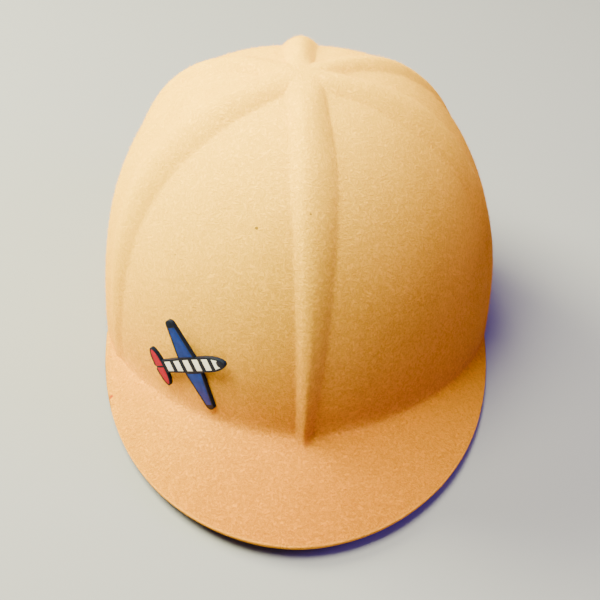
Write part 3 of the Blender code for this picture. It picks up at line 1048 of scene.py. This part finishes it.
@dataclass
class FeltCap:
    """The felt, with the fine surface and the loose hairs of the real one."""

    form: FeltForm = FeltForm()
    columns: int = 380
    even_along: float = 0.6
    fold_rows: int = 14
    crown_rows: int = 114
    fold_along: float = 0.965
    peak_fold_rows: int = 10
    peak_rows: int = 32
    peak_fold_share: float = 0.09
    # Rows over which the peak's painted shade rises from the fold.
    peak_shade_rows: int = 24
    edge_rows: int = 6
    edge_round: float = 0.6 * MM
    inner_step: int = 3
    fold_softening: int = 14
    swell: float = 0.22 * MM
    swell_scale: float = 38.0
    dimple: float = 0.07 * MM
    dimple_scale: float = 150.0
    hair_length: float = 1.3 * MM
    hair_width: float = 0.07 * MM
    crown_hairs: int = 47000
    peak_hairs: int = 26000
    seed: int = 7

    def build(self) -> Vector:
        """Build, dress and seat the felt and its nap.

        Returns:
            How far the felt was moved to its solid.
        """
        shell = new_object("felt_shell", self.shell_mesh())
        move = self.move_to_solid(shell)
        marks = [(mark, self.mark_place(mark) + move) for mark in MARKS]
        dress(shell, FELT.material("wool_felt", marks=marks))
        # The loose hairs carry the same painted light and shade as the felt.
        hair = FELT.material("wool_hair", hairs=True)
        naps = [
            self.nap(shell, "felt_nap_crown", Region.CROWN, self.crown_hairs, hair),
            self.nap(shell, "felt_nap_peak", Region.PEAK, self.peak_hairs, hair),
        ]
        seat_in_frame(shell, ["felt_body"])
        for item in naps:
            seat_in_frame(item)
        return move

    @property
    def fold_row(self) -> int:
        """Number of the row of points on the fold."""
        return self.crown_rows + self.fold_rows - 1

    def outer_points(self) -> np.ndarray:
        """Lay points over the outer surface, closer together at the fold.

        Returns:
            Rows of points, from the hub to the peak's edge.
        """
        upper = np.linspace(0, self.fold_along, self.crown_rows, endpoint=False)
        along = np.concatenate([upper, np.linspace(self.fold_along, 1, self.fold_rows)])
        near = np.linspace(0, self.peak_fold_share, self.peak_fold_rows)[1:]
        share = np.concatenate([near, np.linspace(self.peak_fold_share, 1, self.peak_rows)[1:]])
        crown = self.form.crown(self.column_azimuths(along), along[:, None])
        rim = self.rim_azimuths()
        points = np.concatenate([crown, self.form.peak(rim[None, :], share[:, None])])
        points = self.soften_fold(points, self.form.peak_width(rim))
        return self.roughen(points)

    def column_azimuths(self, along: np.ndarray) -> np.ndarray:
        """Azimuths of the mesh's columns, which follow the ribs' crests and feet.

        Args:
            along: Levels down the crown.

        Returns:
            One row of azimuths, in radians, for each level.
        """
        lines = self.form.creases(along)
        spacing = self.form.creases(np.array([self.even_along]))[0]
        parts = []
        for index, start in enumerate(lines.T):
            last = index + 1 == lines.shape[1]
            end = lines[:, 0] + 2 * math.pi if last else lines[:, index + 1]
            gap = (np.roll(spacing, -1)[index] - spacing[index]) % (2 * math.pi)
            count = round(self.columns * gap / (2 * math.pi))
            parts.append(start[:, None] + (end - start)[:, None] * np.arange(count) / count)
        return np.concatenate(parts, 1)

    def rim_azimuths(self) -> np.ndarray:
        """Azimuths of the mesh's columns at the rim."""
        return self.column_azimuths(np.array([1.0]))[0]

    def soften_fold(self, points: np.ndarray, width: np.ndarray) -> np.ndarray:
        """Round the crease between the crown and the peak, as in moulded felt.

        Args:
            points: Rows of points, which are changed.
            width: The peak's width at each column.

        Returns:
            The same rows.
        """
        low = self.fold_row - self.fold_rows + 2
        high = self.fold_row + self.peak_fold_rows - 1
        fade = 1 - np.abs(np.arange(low, high) - self.fold_row) / self.fold_rows
        weight = fade[:, None] * np.minimum(width / self.form.peak_settle, 1.0)[None, :]
        for _ in range(self.fold_softening):
            between = (points[low - 1 : high - 1] + points[low + 1 : high + 1]) / 2
            points[low:high] += weight[..., None] * (between - points[low:high])
        return points

    def roughen(self, points: np.ndarray) -> np.ndarray:
        """Add the gentle unevenness of felt that was pressed by hand over a block.

        Args:
            points: Rows of points.

        Returns:
            New rows of points.
        """
        waves = [(self.swell, self.swell_scale), (self.dimple, self.dimple_scale)]
        lift = np.array(
            [
                sum(size * noise.noise(Vector(point) * scale) for size, scale in waves)
                for point in points.reshape(-1, 3)
            ]
        )
        return points + self.normals(points) * lift.reshape(points.shape[:2])[..., None]

    def normals(self, points: np.ndarray) -> np.ndarray:
        """Directions out of rows of points, carried on where rows fall together or turn back.

        Args:
            points: Rows of points, of which the first is the hub.

        Returns:
            One direction for each point.
        """
        down = np.gradient(points, axis=0)
        across = np.roll(points, -1, axis=1) - np.roll(points, 1, axis=1)
        out = np.cross(down, across)
        size = np.linalg.norm(out, axis=-1)
        out[0] = (0.0, 0.0, 1.0)
        size[0] = 1.0
        for row in range(1, len(out)):
            lost = (size[row] < WELD * WELD) | ((out[row] * out[row - 1]).sum(-1) < 0)
            out[row][lost] = out[row - 1][lost]
            size[row][lost] = size[row - 1][lost]
        return out / size[..., None]

    def shell_mesh(self) -> bpy.types.Mesh:
        """Join the outer surface, the rounded edge and the inner surface.

        Returns:
            One closed mesh.
        """
        outer = self.outer_points()
        out = self.normals(outer)
        away = outer[-1] - outer[-2]
        size = np.linalg.norm(away, axis=-1, keepdims=True)
        away = np.where(size > WELD, away / np.maximum(size, WELD), np.array([0.0, 0.0, -1.0]))
        outer[-1] -= away * self.edge_round
        half = self.form.wall / 2
        turns = np.linspace(0, math.pi, self.edge_rows + 1)[1:-1]
        edge = [
            outer[-1] + out[-1] * half * (math.cos(turn) - 1) + away * self.edge_round * math.sin(turn)
            for turn in turns
        ]
        kept = np.append(np.arange(len(outer) - 1, 0, -self.inner_step), 0)
        inner = outer[kept] - out[kept] * self.form.wall
        rows = np.concatenate([outer, edge, inner])
        rows[..., 2] = np.maximum(rows[..., 2], 0.0)
        return self.mesh_of_rows(rows, len(outer))

    def mesh_of_rows(self, rows: np.ndarray, outer_rows: int) -> bpy.types.Mesh:
        """Join rows of points into a closed mesh, with its masks.

        Args:
            rows: Rows of points, from the hub over the edge to the hub's inner side.
            outer_rows: How many rows the outer surface has.

        Returns:
            The mesh.
        """
        count, columns = rows.shape[:2]
        index = np.arange(count * columns).reshape(count, columns)
        after = np.roll(index, -1, axis=1)
        quads = np.stack([index[:-1], index[1:], after[1:], after[:-1]], -1).reshape(-1, 4)
        mesh = bpy.data.meshes.new("felt_shell")
        mesh.from_pydata(rows.reshape(-1, 3), [], quads)
        spans = {
            Region.CROWN: (0, self.fold_row),
            Region.PEAK: (self.fold_row, outer_rows),
            Region.EDGE: (outer_rows - 1, outer_rows + self.edge_rows),
        }
        # The peak's painted shade rises from the fold outwards.
        masks = {PEAK_SHADE: np.clip((np.arange(count) - self.fold_row) / self.peak_shade_rows, 0, 1)}
        for region, (first, last) in spans.items():
            masks[region.value] = np.zeros(count)
            masks[region.value][first:last] = 1.0
        for name, mask in masks.items():
            layer = mesh.attributes.new(name, "FLOAT", "POINT")
            layer.data.foreach_set("value", np.repeat(mask, columns).astype(np.float32))
        with editing(mesh) as shape:
            bmesh.ops.remove_doubles(shape, verts=shape.verts, dist=WELD)
            bmesh.ops.recalc_face_normals(shape, faces=shape.faces)
        mesh.shade_smooth()
        return mesh

    def move_to_solid(self, shell: bpy.types.Object) -> Vector:
        """Put the shell where its solid stands.

        Args:
            shell: The felt.

        Returns:
            How far it was moved, on the level.
        """
        low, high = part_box("felt_body")
        points = np.empty(len(shell.data.vertices) * 3)
        shell.data.vertices.foreach_get("co", points)
        points = points.reshape(-1, 3)
        own = (points.min(0) + points.max(0)) / 2
        middle = (low + high) / 2
        move = Vector((middle.x - own[0], middle.y - own[1], 0))
        shell.data.transform(Matrix.Translation(move))
        return move

    def mark_place(self, mark: Mark) -> Vector:
        """Where a small mark lies on the outer surface."""
        surface = self.form.peak if mark.region is Region.PEAK else self.form.crown
        return Vector(surface(np.radians(mark.azimuth), np.array(mark.level)))

    def nap(
        self,
        shell: bpy.types.Object,
        name: str,
        region: Region,
        hairs: int,
        material: bpy.types.Material,
    ) -> bpy.types.Object:
        """Loose hairs that stand out of a region of the felt.

        Args:
            shell: The felt.
            name: The new piece's name.
            region: Where the hairs grow.
            hairs: Number of hairs, about.
            material: Their material.

        Returns:
            The hairs as one plain mesh.
        """
        item = new_object(name, shell.data.copy())
        modifier = item.modifiers.new("nap", "NODES")
        modifier.node_group = nap_tree(region, material)
        area = sum(
            face.area
            for face in shell.data.polygons
            if shell.data.attributes[region.value].data[face.vertices[0]].value > MASK_MIDDLE
        )
        values = {
            "Density": hairs / area,
            "Length": self.hair_length,
            "Width": self.hair_width,
            "Seed": self.seed + list(Region).index(region),
        }
        for socket in modifier.node_group.interface.items_tree:
            if socket.name in values:
                modifier[socket.identifier] = values[socket.name]
        return plain_mesh(item)


def nap_tree(region: Region, material: bpy.types.Material) -> bpy.types.NodeTree:
    """Geometry nodes that scatter short pointed hairs over a region of a mesh.

    Args:
        region: The region, whose attribute says where hairs grow.
        material: The hairs' material.

    Returns:
        The node tree, with inputs for density, length, width and seed.
    """
    group = bpy.data.node_groups.new("nap_" + region.value, "GeometryNodeTree")
    sockets = {
        "Geometry": "NodeSocketGeometry",
        "Density": "NodeSocketFloat",
        "Length": "NodeSocketFloat",
        "Width": "NodeSocketFloat",
        "Seed": "NodeSocketInt",
    }
    for label, kind in sockets.items():
        group.interface.new_socket(label, in_out="INPUT", socket_type=kind)
    group.interface.new_socket("Geometry", in_out="OUTPUT", socket_type="NodeSocketGeometry")
    tree = Tree(group)
    given = tree.add("NodeGroupInput").outputs
    where = tree.add("GeometryNodeInputNamedAttribute", {"Name": region.value}, data_type="FLOAT")
    inside = tree.add(
        "FunctionNodeCompare", {0: where.outputs[0], 1: MASK_MIDDLE}, operation="GREATER_THAN"
    )
    place = tree.add("ShaderNodeSeparateXYZ", {0: tree.add("GeometryNodeInputPosition").outputs[0]})
    clear = tree.math("MULTIPLY", given["Length"], CLEAR_LENGTHS * LONGEST_HAIR)
    above = tree.add("FunctionNodeCompare", {0: place.outputs["Z"], 1: clear}, operation="GREATER_THAN")
    grown = tree.add("FunctionNodeBooleanMath", {0: inside.outputs[0], 1: above.outputs[0]})
    points = tree.add(
        "GeometryNodeDistributePointsOnFaces",
        {
            "Mesh": given["Geometry"],
            "Selection": grown.outputs[0],
            "Density": given["Density"],
            "Seed": given["Seed"],
        },
    )
    hair = tree.add(
        "GeometryNodeMeshCone",
        {
            "Vertices": 3,
            "Side Segments": 1,
            "Fill Segments": 1,
            "Radius Top": 0.0,
            "Radius Bottom": tree.math("MULTIPLY", given["Width"], 0.5),
            "Depth": given["Length"],
        },
    )
    turn = tree.add(
        "FunctionNodeRandomValue",
        {
            0: (-HAIR_LEAN, -HAIR_LEAN, -math.pi),
            1: (HAIR_LEAN, HAIR_LEAN, math.pi),
            "Seed": given["Seed"],
        },
        data_type="FLOAT_VECTOR",
    )
    tilt = tree.add("FunctionNodeEulerToRotation", {0: turn.outputs[0]})
    aimed = tree.add(
        "FunctionNodeRotateRotation",
        {"Rotation": points.outputs["Rotation"], "Rotate By": tilt.outputs[0]},
        rotation_space="LOCAL",
    )
    size = tree.add(
        "FunctionNodeRandomValue",
        {2: SHORTEST_HAIR, 3: LONGEST_HAIR, "Seed": given["Seed"]},
        data_type="FLOAT",
    )
    placed = tree.add(
        "GeometryNodeInstanceOnPoints",
        {
            "Points": points.outputs["Points"],
            "Instance": hair.outputs[0],
            "Rotation": aimed.outputs[0],
            "Scale": size.outputs[1],
        },
    )
    real = tree.add("GeometryNodeRealizeInstances", {0: placed.outputs[0]})
    painted = tree.add("GeometryNodeSetMaterial", {"Geometry": real.outputs[0], "Material": material})
    tree.add("NodeGroupOutput", {0: painted.outputs[0]})
    return group


@dataclass(frozen=True)
class PinForm:
    """Sizes and outlines of the aeroplane, flat, with the nose towards +X."""

    azimuth: float = math.radians(-33.9)
    along: float = 0.907
    turn: float = math.radians(30.6)
    swing: float = math.radians(2.5)
    droop: float = math.radians(4.5)
    plate: float = 1.6 * MM
    cell_depth: float = 0.8 * MM
    rim: float = 0.8 * MM
    body_half: float = 3.5 * MM
    body_tail_half: float = 2.9 * MM
    nose_reach: float = 21.8 * MM
    nose_start: float = 10.5 * MM
    wing_span: float = 42.5 * MM
    root_chord: float = 10.4 * MM
    tip_chord: float = 4.0 * MM
    left_tip_cap: float = 3.5 * MM
    right_tip_cap: float = 2.3 * MM
    tail_back: float = 19.5 * MM
    tail_span: float = 18.4 * MM
    tail_chord: float = 6.0 * MM
    tail_notch: float = 1.0 * MM
    bands: int = 5
    band_first: float = 1.4 * MM
    band_width: float = 3.5 * MM
    band_pitch: float = 6.0 * MM
    nose_cell: float = 3.6 * MM
    nose_cell_end_half: float = 1.6 * MM
    nose_bite: float = 1.5 * MM
    arc_steps: int = 14
    post_radius: float = 0.6 * MM

    def frame(self, felt: FeltForm, move: Vector) -> Matrix:
        """The pin's frame on the felt: X to the nose, Z out of the felt.

        Args:
            felt: The surface that the pin is on.
            move: How far the felt was moved to its solid.

        Returns:
            The world matrix of the pin's own frame.
        """
        azimuth, along = np.array(self.azimuth), np.array(self.along)
        square = Vector(felt.outward(felt.crown, azimuth, along))
        swung = Matrix.Rotation(self.swing, 3, "Z") @ square
        level = Vector((0, 0, 1)).cross(swung).normalized()
        out = Matrix.Rotation(self.droop, 3, level) @ swung
        nose = Matrix.Rotation(self.turn, 3, out) @ Vector((0, 0, 1)).cross(out).normalized()
        frame = Matrix((nose, out.cross(nose), out)).transposed().to_4x4()
        frame.translation = Vector(felt.crown(azimuth, along)) + move
        return frame

    def wing_half_chord(self, y: float) -> float:
        """Half of the wing's chord at a distance from the middle line."""
        share = (y - self.body_half) / (self.wing_span / 2 - self.body_half)
        return (self.root_chord + (self.tip_chord - self.root_chord) * share) / 2

    def body_edge(self, x: float) -> float:
        """Half of the fuselage's height at a place along it.

        Args:
            x: The place, towards the nose.

        Returns:
            The half height.
        """
        if x > self.nose_start:
            share = min((x - self.nose_start) / (self.nose_reach - self.nose_start), 1.0)
            return self.body_half * math.sqrt(1 - share * share)
        share = max(-x, 0) / self.tail_back
        return self.body_half + (self.body_tail_half - self.body_half) * share

    def tail_point(self, angle: float, inset: float = 0.0) -> tuple[float, float]:
        """A point of the tailplane's oval outline.

        Args:
            angle: From the middle of its front edge, in radians.
            inset: How far inside the outline.

        Returns:
            The point.
        """
        half_chord = self.tail_chord / 2 - inset
        half_span = self.tail_span / 2 - inset
        return (-self.tail_back + half_chord * math.cos(angle), half_span * math.sin(angle))

    def plate_outline(self) -> Outline:
        """Draw the aeroplane's whole outline.

        Returns:
            Its corners, from the tip of the nose round by +Y.
        """
        half = []
        for step in range(self.arc_steps):
            angle = math.pi / 2 * step / self.arc_steps
            x = self.nose_start + (self.nose_reach - self.nose_start) * math.cos(angle)
            half.append((x, self.body_half * math.sin(angle)))
        tip_round = self.tip_chord / 2
        tip_start = self.wing_span / 2 - tip_round
        half.append((self.root_chord / 2, self.body_half))
        for step in range(self.arc_steps + 1):
            angle = math.pi * step / self.arc_steps
            x = self.wing_half_chord(tip_start) * math.cos(angle)
            half.append((x, tip_start + tip_round * math.sin(angle)))
        half.append((-self.root_chord / 2, self.body_edge(-self.root_chord / 2)))
        root = math.asin(self.body_edge(-self.tail_back) / (self.tail_span / 2))
        for step in range(2 * self.arc_steps):
            angle = root + (math.pi - root) * step / (2 * self.arc_steps)
            half.append(self.tail_point(angle))
        half.append((-self.tail_back - self.tail_chord / 2 + self.tail_notch, 0))
        return half + [(x, -y) for x, y in reversed(half) if y > 0]

    def wing_cell(self, side: int, tip_cap: float) -> Outline:
        """Draw a wing's cell, up to the wing's dark tip.

        Args:
            side: 1 for the wing at +Y, -1 for the one at -Y.
            tip_cap: Length of the dark tip.

        Returns:
            The cell's corners.
        """
        root = self.body_half + self.rim / 2
        tip = self.wing_span / 2 - tip_cap
        root_half = self.wing_half_chord(root) - self.rim
        tip_half = self.wing_half_chord(tip) - self.rim
        corners = [(root_half, root), (tip_half, tip), (-tip_half, tip), (-root_half, root)]
        return [(x, side * y) for x, y in corners]

    def band_start(self, number: int) -> float:
        """Where a band across the fuselage starts, counted from the tail."""
        return -self.tail_back + self.tail_chord / 2 + self.band_first + self.band_pitch * number

    def band_cell(self, number: int) -> Outline:
        """Draw a band's cell.

        Args:
            number: The band's, counted from the tail.

        Returns:
            The cell's corners.
        """
        back = self.band_start(number)
        front = back + self.band_width
        corners = [(front, self.body_edge(front) - self.rim), (back, self.body_edge(back) - self.rim)]
        return corners + [(x, -y) for x, y in reversed(corners)]

    def nose_outline(self) -> Outline:
        """Draw the cell in the nose, after the last band, with a round bite in its front.

        Returns:
            The cell's corners.
        """
        back = self.band_start(self.bands)
        front = back + self.nose_cell
        bite = []
        for step in range(self.arc_steps + 1):
            angle = math.pi * step / self.arc_steps
            x = front - self.nose_bite * math.sin(angle)
            bite.append((x, self.nose_cell_end_half * -math.cos(angle)))
        half = self.body_edge(back) - self.rim
        return bite + [(back, half), (back, -half)]

    def tail_cell(self, side: int) -> Outline:
        """Draw the cell in a half of the tailplane.

        Args:
            side: 1 for the half at +Y, -1 for the one at -Y.

        Returns:
            The cell's corners.
        """
        low = math.asin((self.rim / 2) / (self.tail_span / 2 - self.rim))
        steps = 2 * self.arc_steps
        angles = [low + (math.pi - 2 * low) * step / steps for step in range(steps + 1)]
        return [(x, side * y) for x, y in (self.tail_point(angle, self.rim) for angle in angles)]

    def cells(self) -> list[tuple[str, Slot, Outline]]:
        """List every enamelled cell.

        Returns:
            The name of its enamel's solid, its slot and its outline.
        """
        listed = [
            ("wing_enamel_left", Slot.BLUE, self.wing_cell(1, self.left_tip_cap)),
            ("wing_enamel_right", Slot.BLUE, self.wing_cell(-1, self.right_tip_cap)),
            ("tail_enamel_left", Slot.RED, self.tail_cell(1)),
            ("tail_enamel_right", Slot.RED, self.tail_cell(-1)),
            ("nose_enamel", Slot.WHITE, self.nose_outline()),
        ]
        bands = range(self.bands)
        return listed + [(f"band_enamel_{n + 1}", Slot.WHITE, self.band_cell(n)) for n in bands]


def prism(name: str, outline: Outline, low: float, high: float) -> bpy.types.Object:
    """Give a flat outline a thickness.

    Args:
        name: The new object's name.
        outline: Corners of the outline.
        low: Height of its underside.
        high: Height of its top.

    Returns:
        The object.
    """
    mesh = bpy.data.meshes.new(name)
    with editing(mesh) as shape:
        face = shape.faces.new([shape.verts.new((x, y, low)) for x, y in outline])
        bmesh.ops.recalc_face_normals(shape, faces=[face])
        raised = bmesh.ops.extrude_face_region(shape, geom=[face])["geom"]
        corners = [part for part in raised if isinstance(part, bmesh.types.BMVert)]
        bmesh.ops.translate(shape, verts=corners, vec=(0, 0, high - low))
        bmesh.ops.recalc_face_normals(shape, faces=shape.faces)
    return new_object(name, mesh)


@dataclass
class AeroplanePin:
    """The enamel pin: a blackened plate with raised rims, and a pool of enamel in each cell."""

    form: PinForm = PinForm()
    bevel: float = 0.08 * MM
    bevel_segments: int = 3
    enamel_overlap: float = 0.02 * MM
    enamel_below_rim: float = 0.10 * MM
    enamel_crown: float = 0.12 * MM
    enamel_slope: float = 0.35 * MM
    enamel_steps: int = 4
    post_sides: int = 24
    post_root: float = 0.25

    def build(self, seat: Matrix) -> None:
        """Build, dress and seat the pin.

        Args:
            seat: The pin's frame on the felt.
        """
        node = bpy.data.objects["pin_plate"]
        heights = along_z(seat, (corner.co for corner in node.data.vertices))
        front, post_end = max(heights), min(heights)
        plate = self.plate(front, post_end)
        plate.data.transform(seat)
        dress(plate, DARK_METAL.material("blackened_metal"))
        seat_in_frame(plate, ["pin_plate"])
        finishes = {Slot.BLUE: BLUE_ENAMEL, Slot.WHITE: WHITE_ENAMEL, Slot.RED: RED_ENAMEL}
        paints = {slot: finish.material(slot.value) for slot, finish in finishes.items()}
        for name, slot, outline in self.form.cells():
            pool = self.pool(name + "_pool", outline, front)
            pool.data.transform(seat)
            dress(pool, paints[slot])
            seat_in_frame(pool, [name])

    def plate(self, front: float, post_end: float) -> bpy.types.Object:
        """Make the plate with its cells, and the post on its back.

        Args:
            front: Height of the plate's front.
            post_end: Height of the post's free end.

        Returns:
            The plate, in the pin's own frame.
        """
        form = self.form
        back = front - form.plate
        plate = prism("pin_plate_relief", form.plate_outline(), back, front)
        cutters = [
            prism("cell_" + name, outline, front - form.cell_depth, front + form.cell_depth)
            for name, _, outline in form.cells()
        ]
        for cutter in cutters:
            cut = plate.modifiers.new(cutter.name, "BOOLEAN")
            cut.operation = "DIFFERENCE"
            cut.object = cutter
        plain_mesh(plate)
        for cutter in cutters:
            bpy.data.objects.remove(cutter)
        bevel_edges(plate, self.bevel, self.bevel_segments)
        plain_mesh(plate)
        self.add_post(plate.data, post_end, back)
        shade(plate)
        return plate

    def add_post(self, mesh: bpy.types.Mesh, low: float, back: float) -> None:
        """Add the soldered post to the back of the plate.

        Args:
            mesh: The plate's mesh.
            low: Height of the post's free end.
            back: Height of the plate's back.
        """
        root = back + self.form.plate * self.post_root
        with editing(mesh) as shape:
            bmesh.ops.create_cone(
                shape,
                cap_ends=True,
                segments=self.post_sides,
                radius1=self.form.post_radius,
                radius2=self.form.post_radius,
                depth=root - low,
                matrix=Matrix.Translation((0, 0, (root + low) / 2)),
            )

    def pool(self, name: str, outline: Outline, front: float) -> bpy.types.Object:
        """Make one cell's enamel, which fills it and crowns a little in the middle.

        Args:
            name: The enamel's name.
            outline: The cell's corners.
            front: Height of the plate's front.

        Returns:
            The enamel, in the pin's own frame.
        """
        low = front - self.form.cell_depth - self.enamel_overlap
        item = prism(name, outline, low, front - self.enamel_below_rim)
        with editing(item.data) as shape:
            face = max(shape.faces, key=lambda each: each.calc_center_median().z)
            for step in range(self.enamel_steps):
                start, end = (math.pi / 2 * count / self.enamel_steps for count in (step, step + 1))
                bmesh.ops.inset_region(
                    shape,
                    faces=[face],
                    thickness=self.enamel_slope * (math.cos(start) - math.cos(end)),
                    depth=0.0,
                    use_even_offset=True,
                )
                rise = self.enamel_crown * (math.sin(end) - math.sin(start))
                bmesh.ops.translate(shape, verts=face.verts, vec=(0, 0, rise))
        shade(item)
        return item


@dataclass
class Clutch:
    """The plain round clutch that holds the post inside the crown.

    A disc lies under the felt, and a waisted neck with a tapered mouth hangs from it.
    """

    radius: float = 5.5 * MM
    neck_radius: float = 3.6 * MM
    base: float = 1.0 * MM
    neck: float = 2.6 * MM
    bore: float = 0.9 * MM
    waist_share: float = 0.9
    waist_length: float = 0.55
    mouth_share: float = 2.0
    mouth_depth: float = 0.2
    bevel: float = 0.25 * MM
    bevel_segments: int = 3
    steps: int = 64

    def build(self, seat: Matrix) -> None:
        """Build, dress and seat the clutch.

        Args:
            seat: The pin's frame on the felt.
        """
        node = bpy.data.objects["pin_clutch"]
        top = max(along_z(seat, (corner.co for corner in node.data.vertices)))
        item = new_object("pin_clutch_turned", self.profile(top))
        turning = item.modifiers.new("turning", "SCREW")
        turning.steps = turning.render_steps = self.steps
        turning.use_merge_vertices = True
        turning.merge_threshold = WELD
        bevel_edges(item, self.bevel, self.bevel_segments)
        plain_mesh(item)
        item.data.transform(seat)
        shade(item)
        dress(item, BRASS.material("brass"))
        seat_in_frame(item, ["pin_clutch"])

    def profile(self, top: float) -> bpy.types.Mesh:
        """Draw half of the clutch's section, from its top down its outer side.

        Args:
            top: Height of the clutch's top.

        Returns:
            A ring of edges.
        """
        base = top - self.base
        bottom = base - self.neck
        points = [
            (self.bore, top),
            (self.radius, top),
            (self.radius, base),
            (self.neck_radius * self.waist_share, base),
            (self.neck_radius, base - self.neck * self.waist_length),
            (self.neck_radius, bottom),
            (self.bore * self.mouth_share, bottom),
            (self.bore, bottom + self.neck * self.mouth_depth),
        ]
        edges = [(index, (index + 1) % len(points)) for index in range(len(points))]
        mesh = bpy.data.meshes.new("pin_clutch_turned")
        mesh.from_pydata([(x, 0, z) for x, z in points], edges, [])
        return mesh


def direction(azimuth: float, elevation: float) -> Vector:
    """The direction from the cap to an azimuth and an elevation, both in radians."""
    level = math.cos(elevation)
    return Vector((math.sin(azimuth) * level, -math.cos(azimuth) * level, math.sin(elevation)))


@dataclass(frozen=True)
class Lamp:
    """A soft square light that looks at the cap: angles in degrees, power in watts."""

    name: str
    azimuth: float
    elevation: float
    distance: float
    size: float
    power: float
    colour: tuple[float, float, float]


@dataclass
class Studio:
    """Pale floor, soft lights and the camera at the photograph's angle."""

    floor_size: float = 6.0
    azimuth: float = math.radians(-0.71)
    elevation: float = math.radians(38.8)
    roll: float = math.radians(1.07)
    distance: float = 0.721
    nearest: float = 0.01
    focal: float = 98.35
    aim: tuple[float, float, float] = (1.43 * MM, -20.55 * MM, 29.9 * MM)
    light_centre: float = 50 * MM
    lamps: tuple[Lamp, ...] = (
        Lamp("key", -120, 35, 1.0, 0.58, 64.0, (1.0, 0.98, 0.50)),
        Lamp("top", -60, 72, 0.8, 0.46, 29.5, (1.0, 0.98, 0.50)),
        Lamp("fill", 75, 26, 1.1, 0.50, 10.0, (0.34, 0.14, 1.0)),
        Lamp("sky", 0, 89, 2.4, 2.4, 14.0, (1.0, 0.90, 0.60)),
    )
    glow: tuple[float, float, float, float] = rgba(0.95, 0.72, 1.0)
    glow_strength: float = 0.24

    def build(self, move: Vector) -> None:
        """Build the stage.

        Args:
            move: How far the felt was moved to its solid.
        """
        self.floor()
        self.backdrop()
        for lamp in self.lamps:
            self.light(lamp)
        self.camera(Vector(self.aim) + move)

    def floor(self) -> None:
        """A plain floor that isn't part of the cap."""
        half = self.floor_size / 2
        corners = [(-half, -half, 0), (half, -half, 0), (half, half, 0), (-half, half, 0)]
        mesh = bpy.data.meshes.new("floor")
        mesh.from_pydata(corners, [], [(0, 1, 2, 3)])
        item = new_object("floor", mesh)
        dress(item, FloorFinish().material("pale_floor"))

    def backdrop(self) -> None:
        """An even, dim glow all round."""
        world = bpy.data.worlds.new("studio")
        world.use_nodes = True
        background = world.node_tree.nodes["Background"]
        background.inputs["Color"].default_value = self.glow
        background.inputs["Strength"].default_value = self.glow_strength
        bpy.context.scene.world = world

    def light(self, lamp: Lamp) -> None:
        """Add a light.

        Args:
            lamp: The light's sizes.
        """
        away = direction(math.radians(lamp.azimuth), math.radians(lamp.elevation))
        light = bpy.data.lights.new(lamp.name, "AREA")
        light.size = lamp.size
        light.energy = lamp.power
        light.color = lamp.colour
        item = new_object(lamp.name, light)
        item.location = away * lamp.distance + Vector((0, 0, self.light_centre))
        item.rotation_euler = (-away).to_track_quat("-Z", "Y").to_euler()

    def camera(self, aim: Vector) -> None:
        """Place the camera at the photograph's angle.

        Args:
            aim: The point that it looks at.
        """
        back = direction(self.azimuth, self.elevation)
        right = Vector((math.cos(self.azimuth), math.sin(self.azimuth), 0))
        turn = Matrix((right, back.cross(right), back)).transposed()
        turn = turn @ Matrix.Rotation(self.roll, 3, "Z")
        lens = bpy.data.cameras.new("camera")
        lens.lens = self.focal
        lens.clip_start = self.nearest
        item = new_object("camera", lens)
        item.matrix_world = Matrix.Translation(aim + back * self.distance) @ turn.to_4x4()
        bpy.context.scene.camera = item


def clear_scene() -> None:
    """Take Blender's starting objects out of the scene."""
    for item in list(bpy.data.objects):
        bpy.data.objects.remove(item)


def main() -> None:
    """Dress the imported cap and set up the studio."""
    logging.basicConfig(level=logging.INFO, format="%(name)s: %(message)s")
    clear_scene()
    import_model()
    cap = FeltCap()
    move = cap.build()
    pin = AeroplanePin()
    seat = pin.form.frame(cap.form, move)
    pin.build(seat)
    Clutch().build(seat)
    Studio().build(move)


if __name__ == "__main__":
    main()
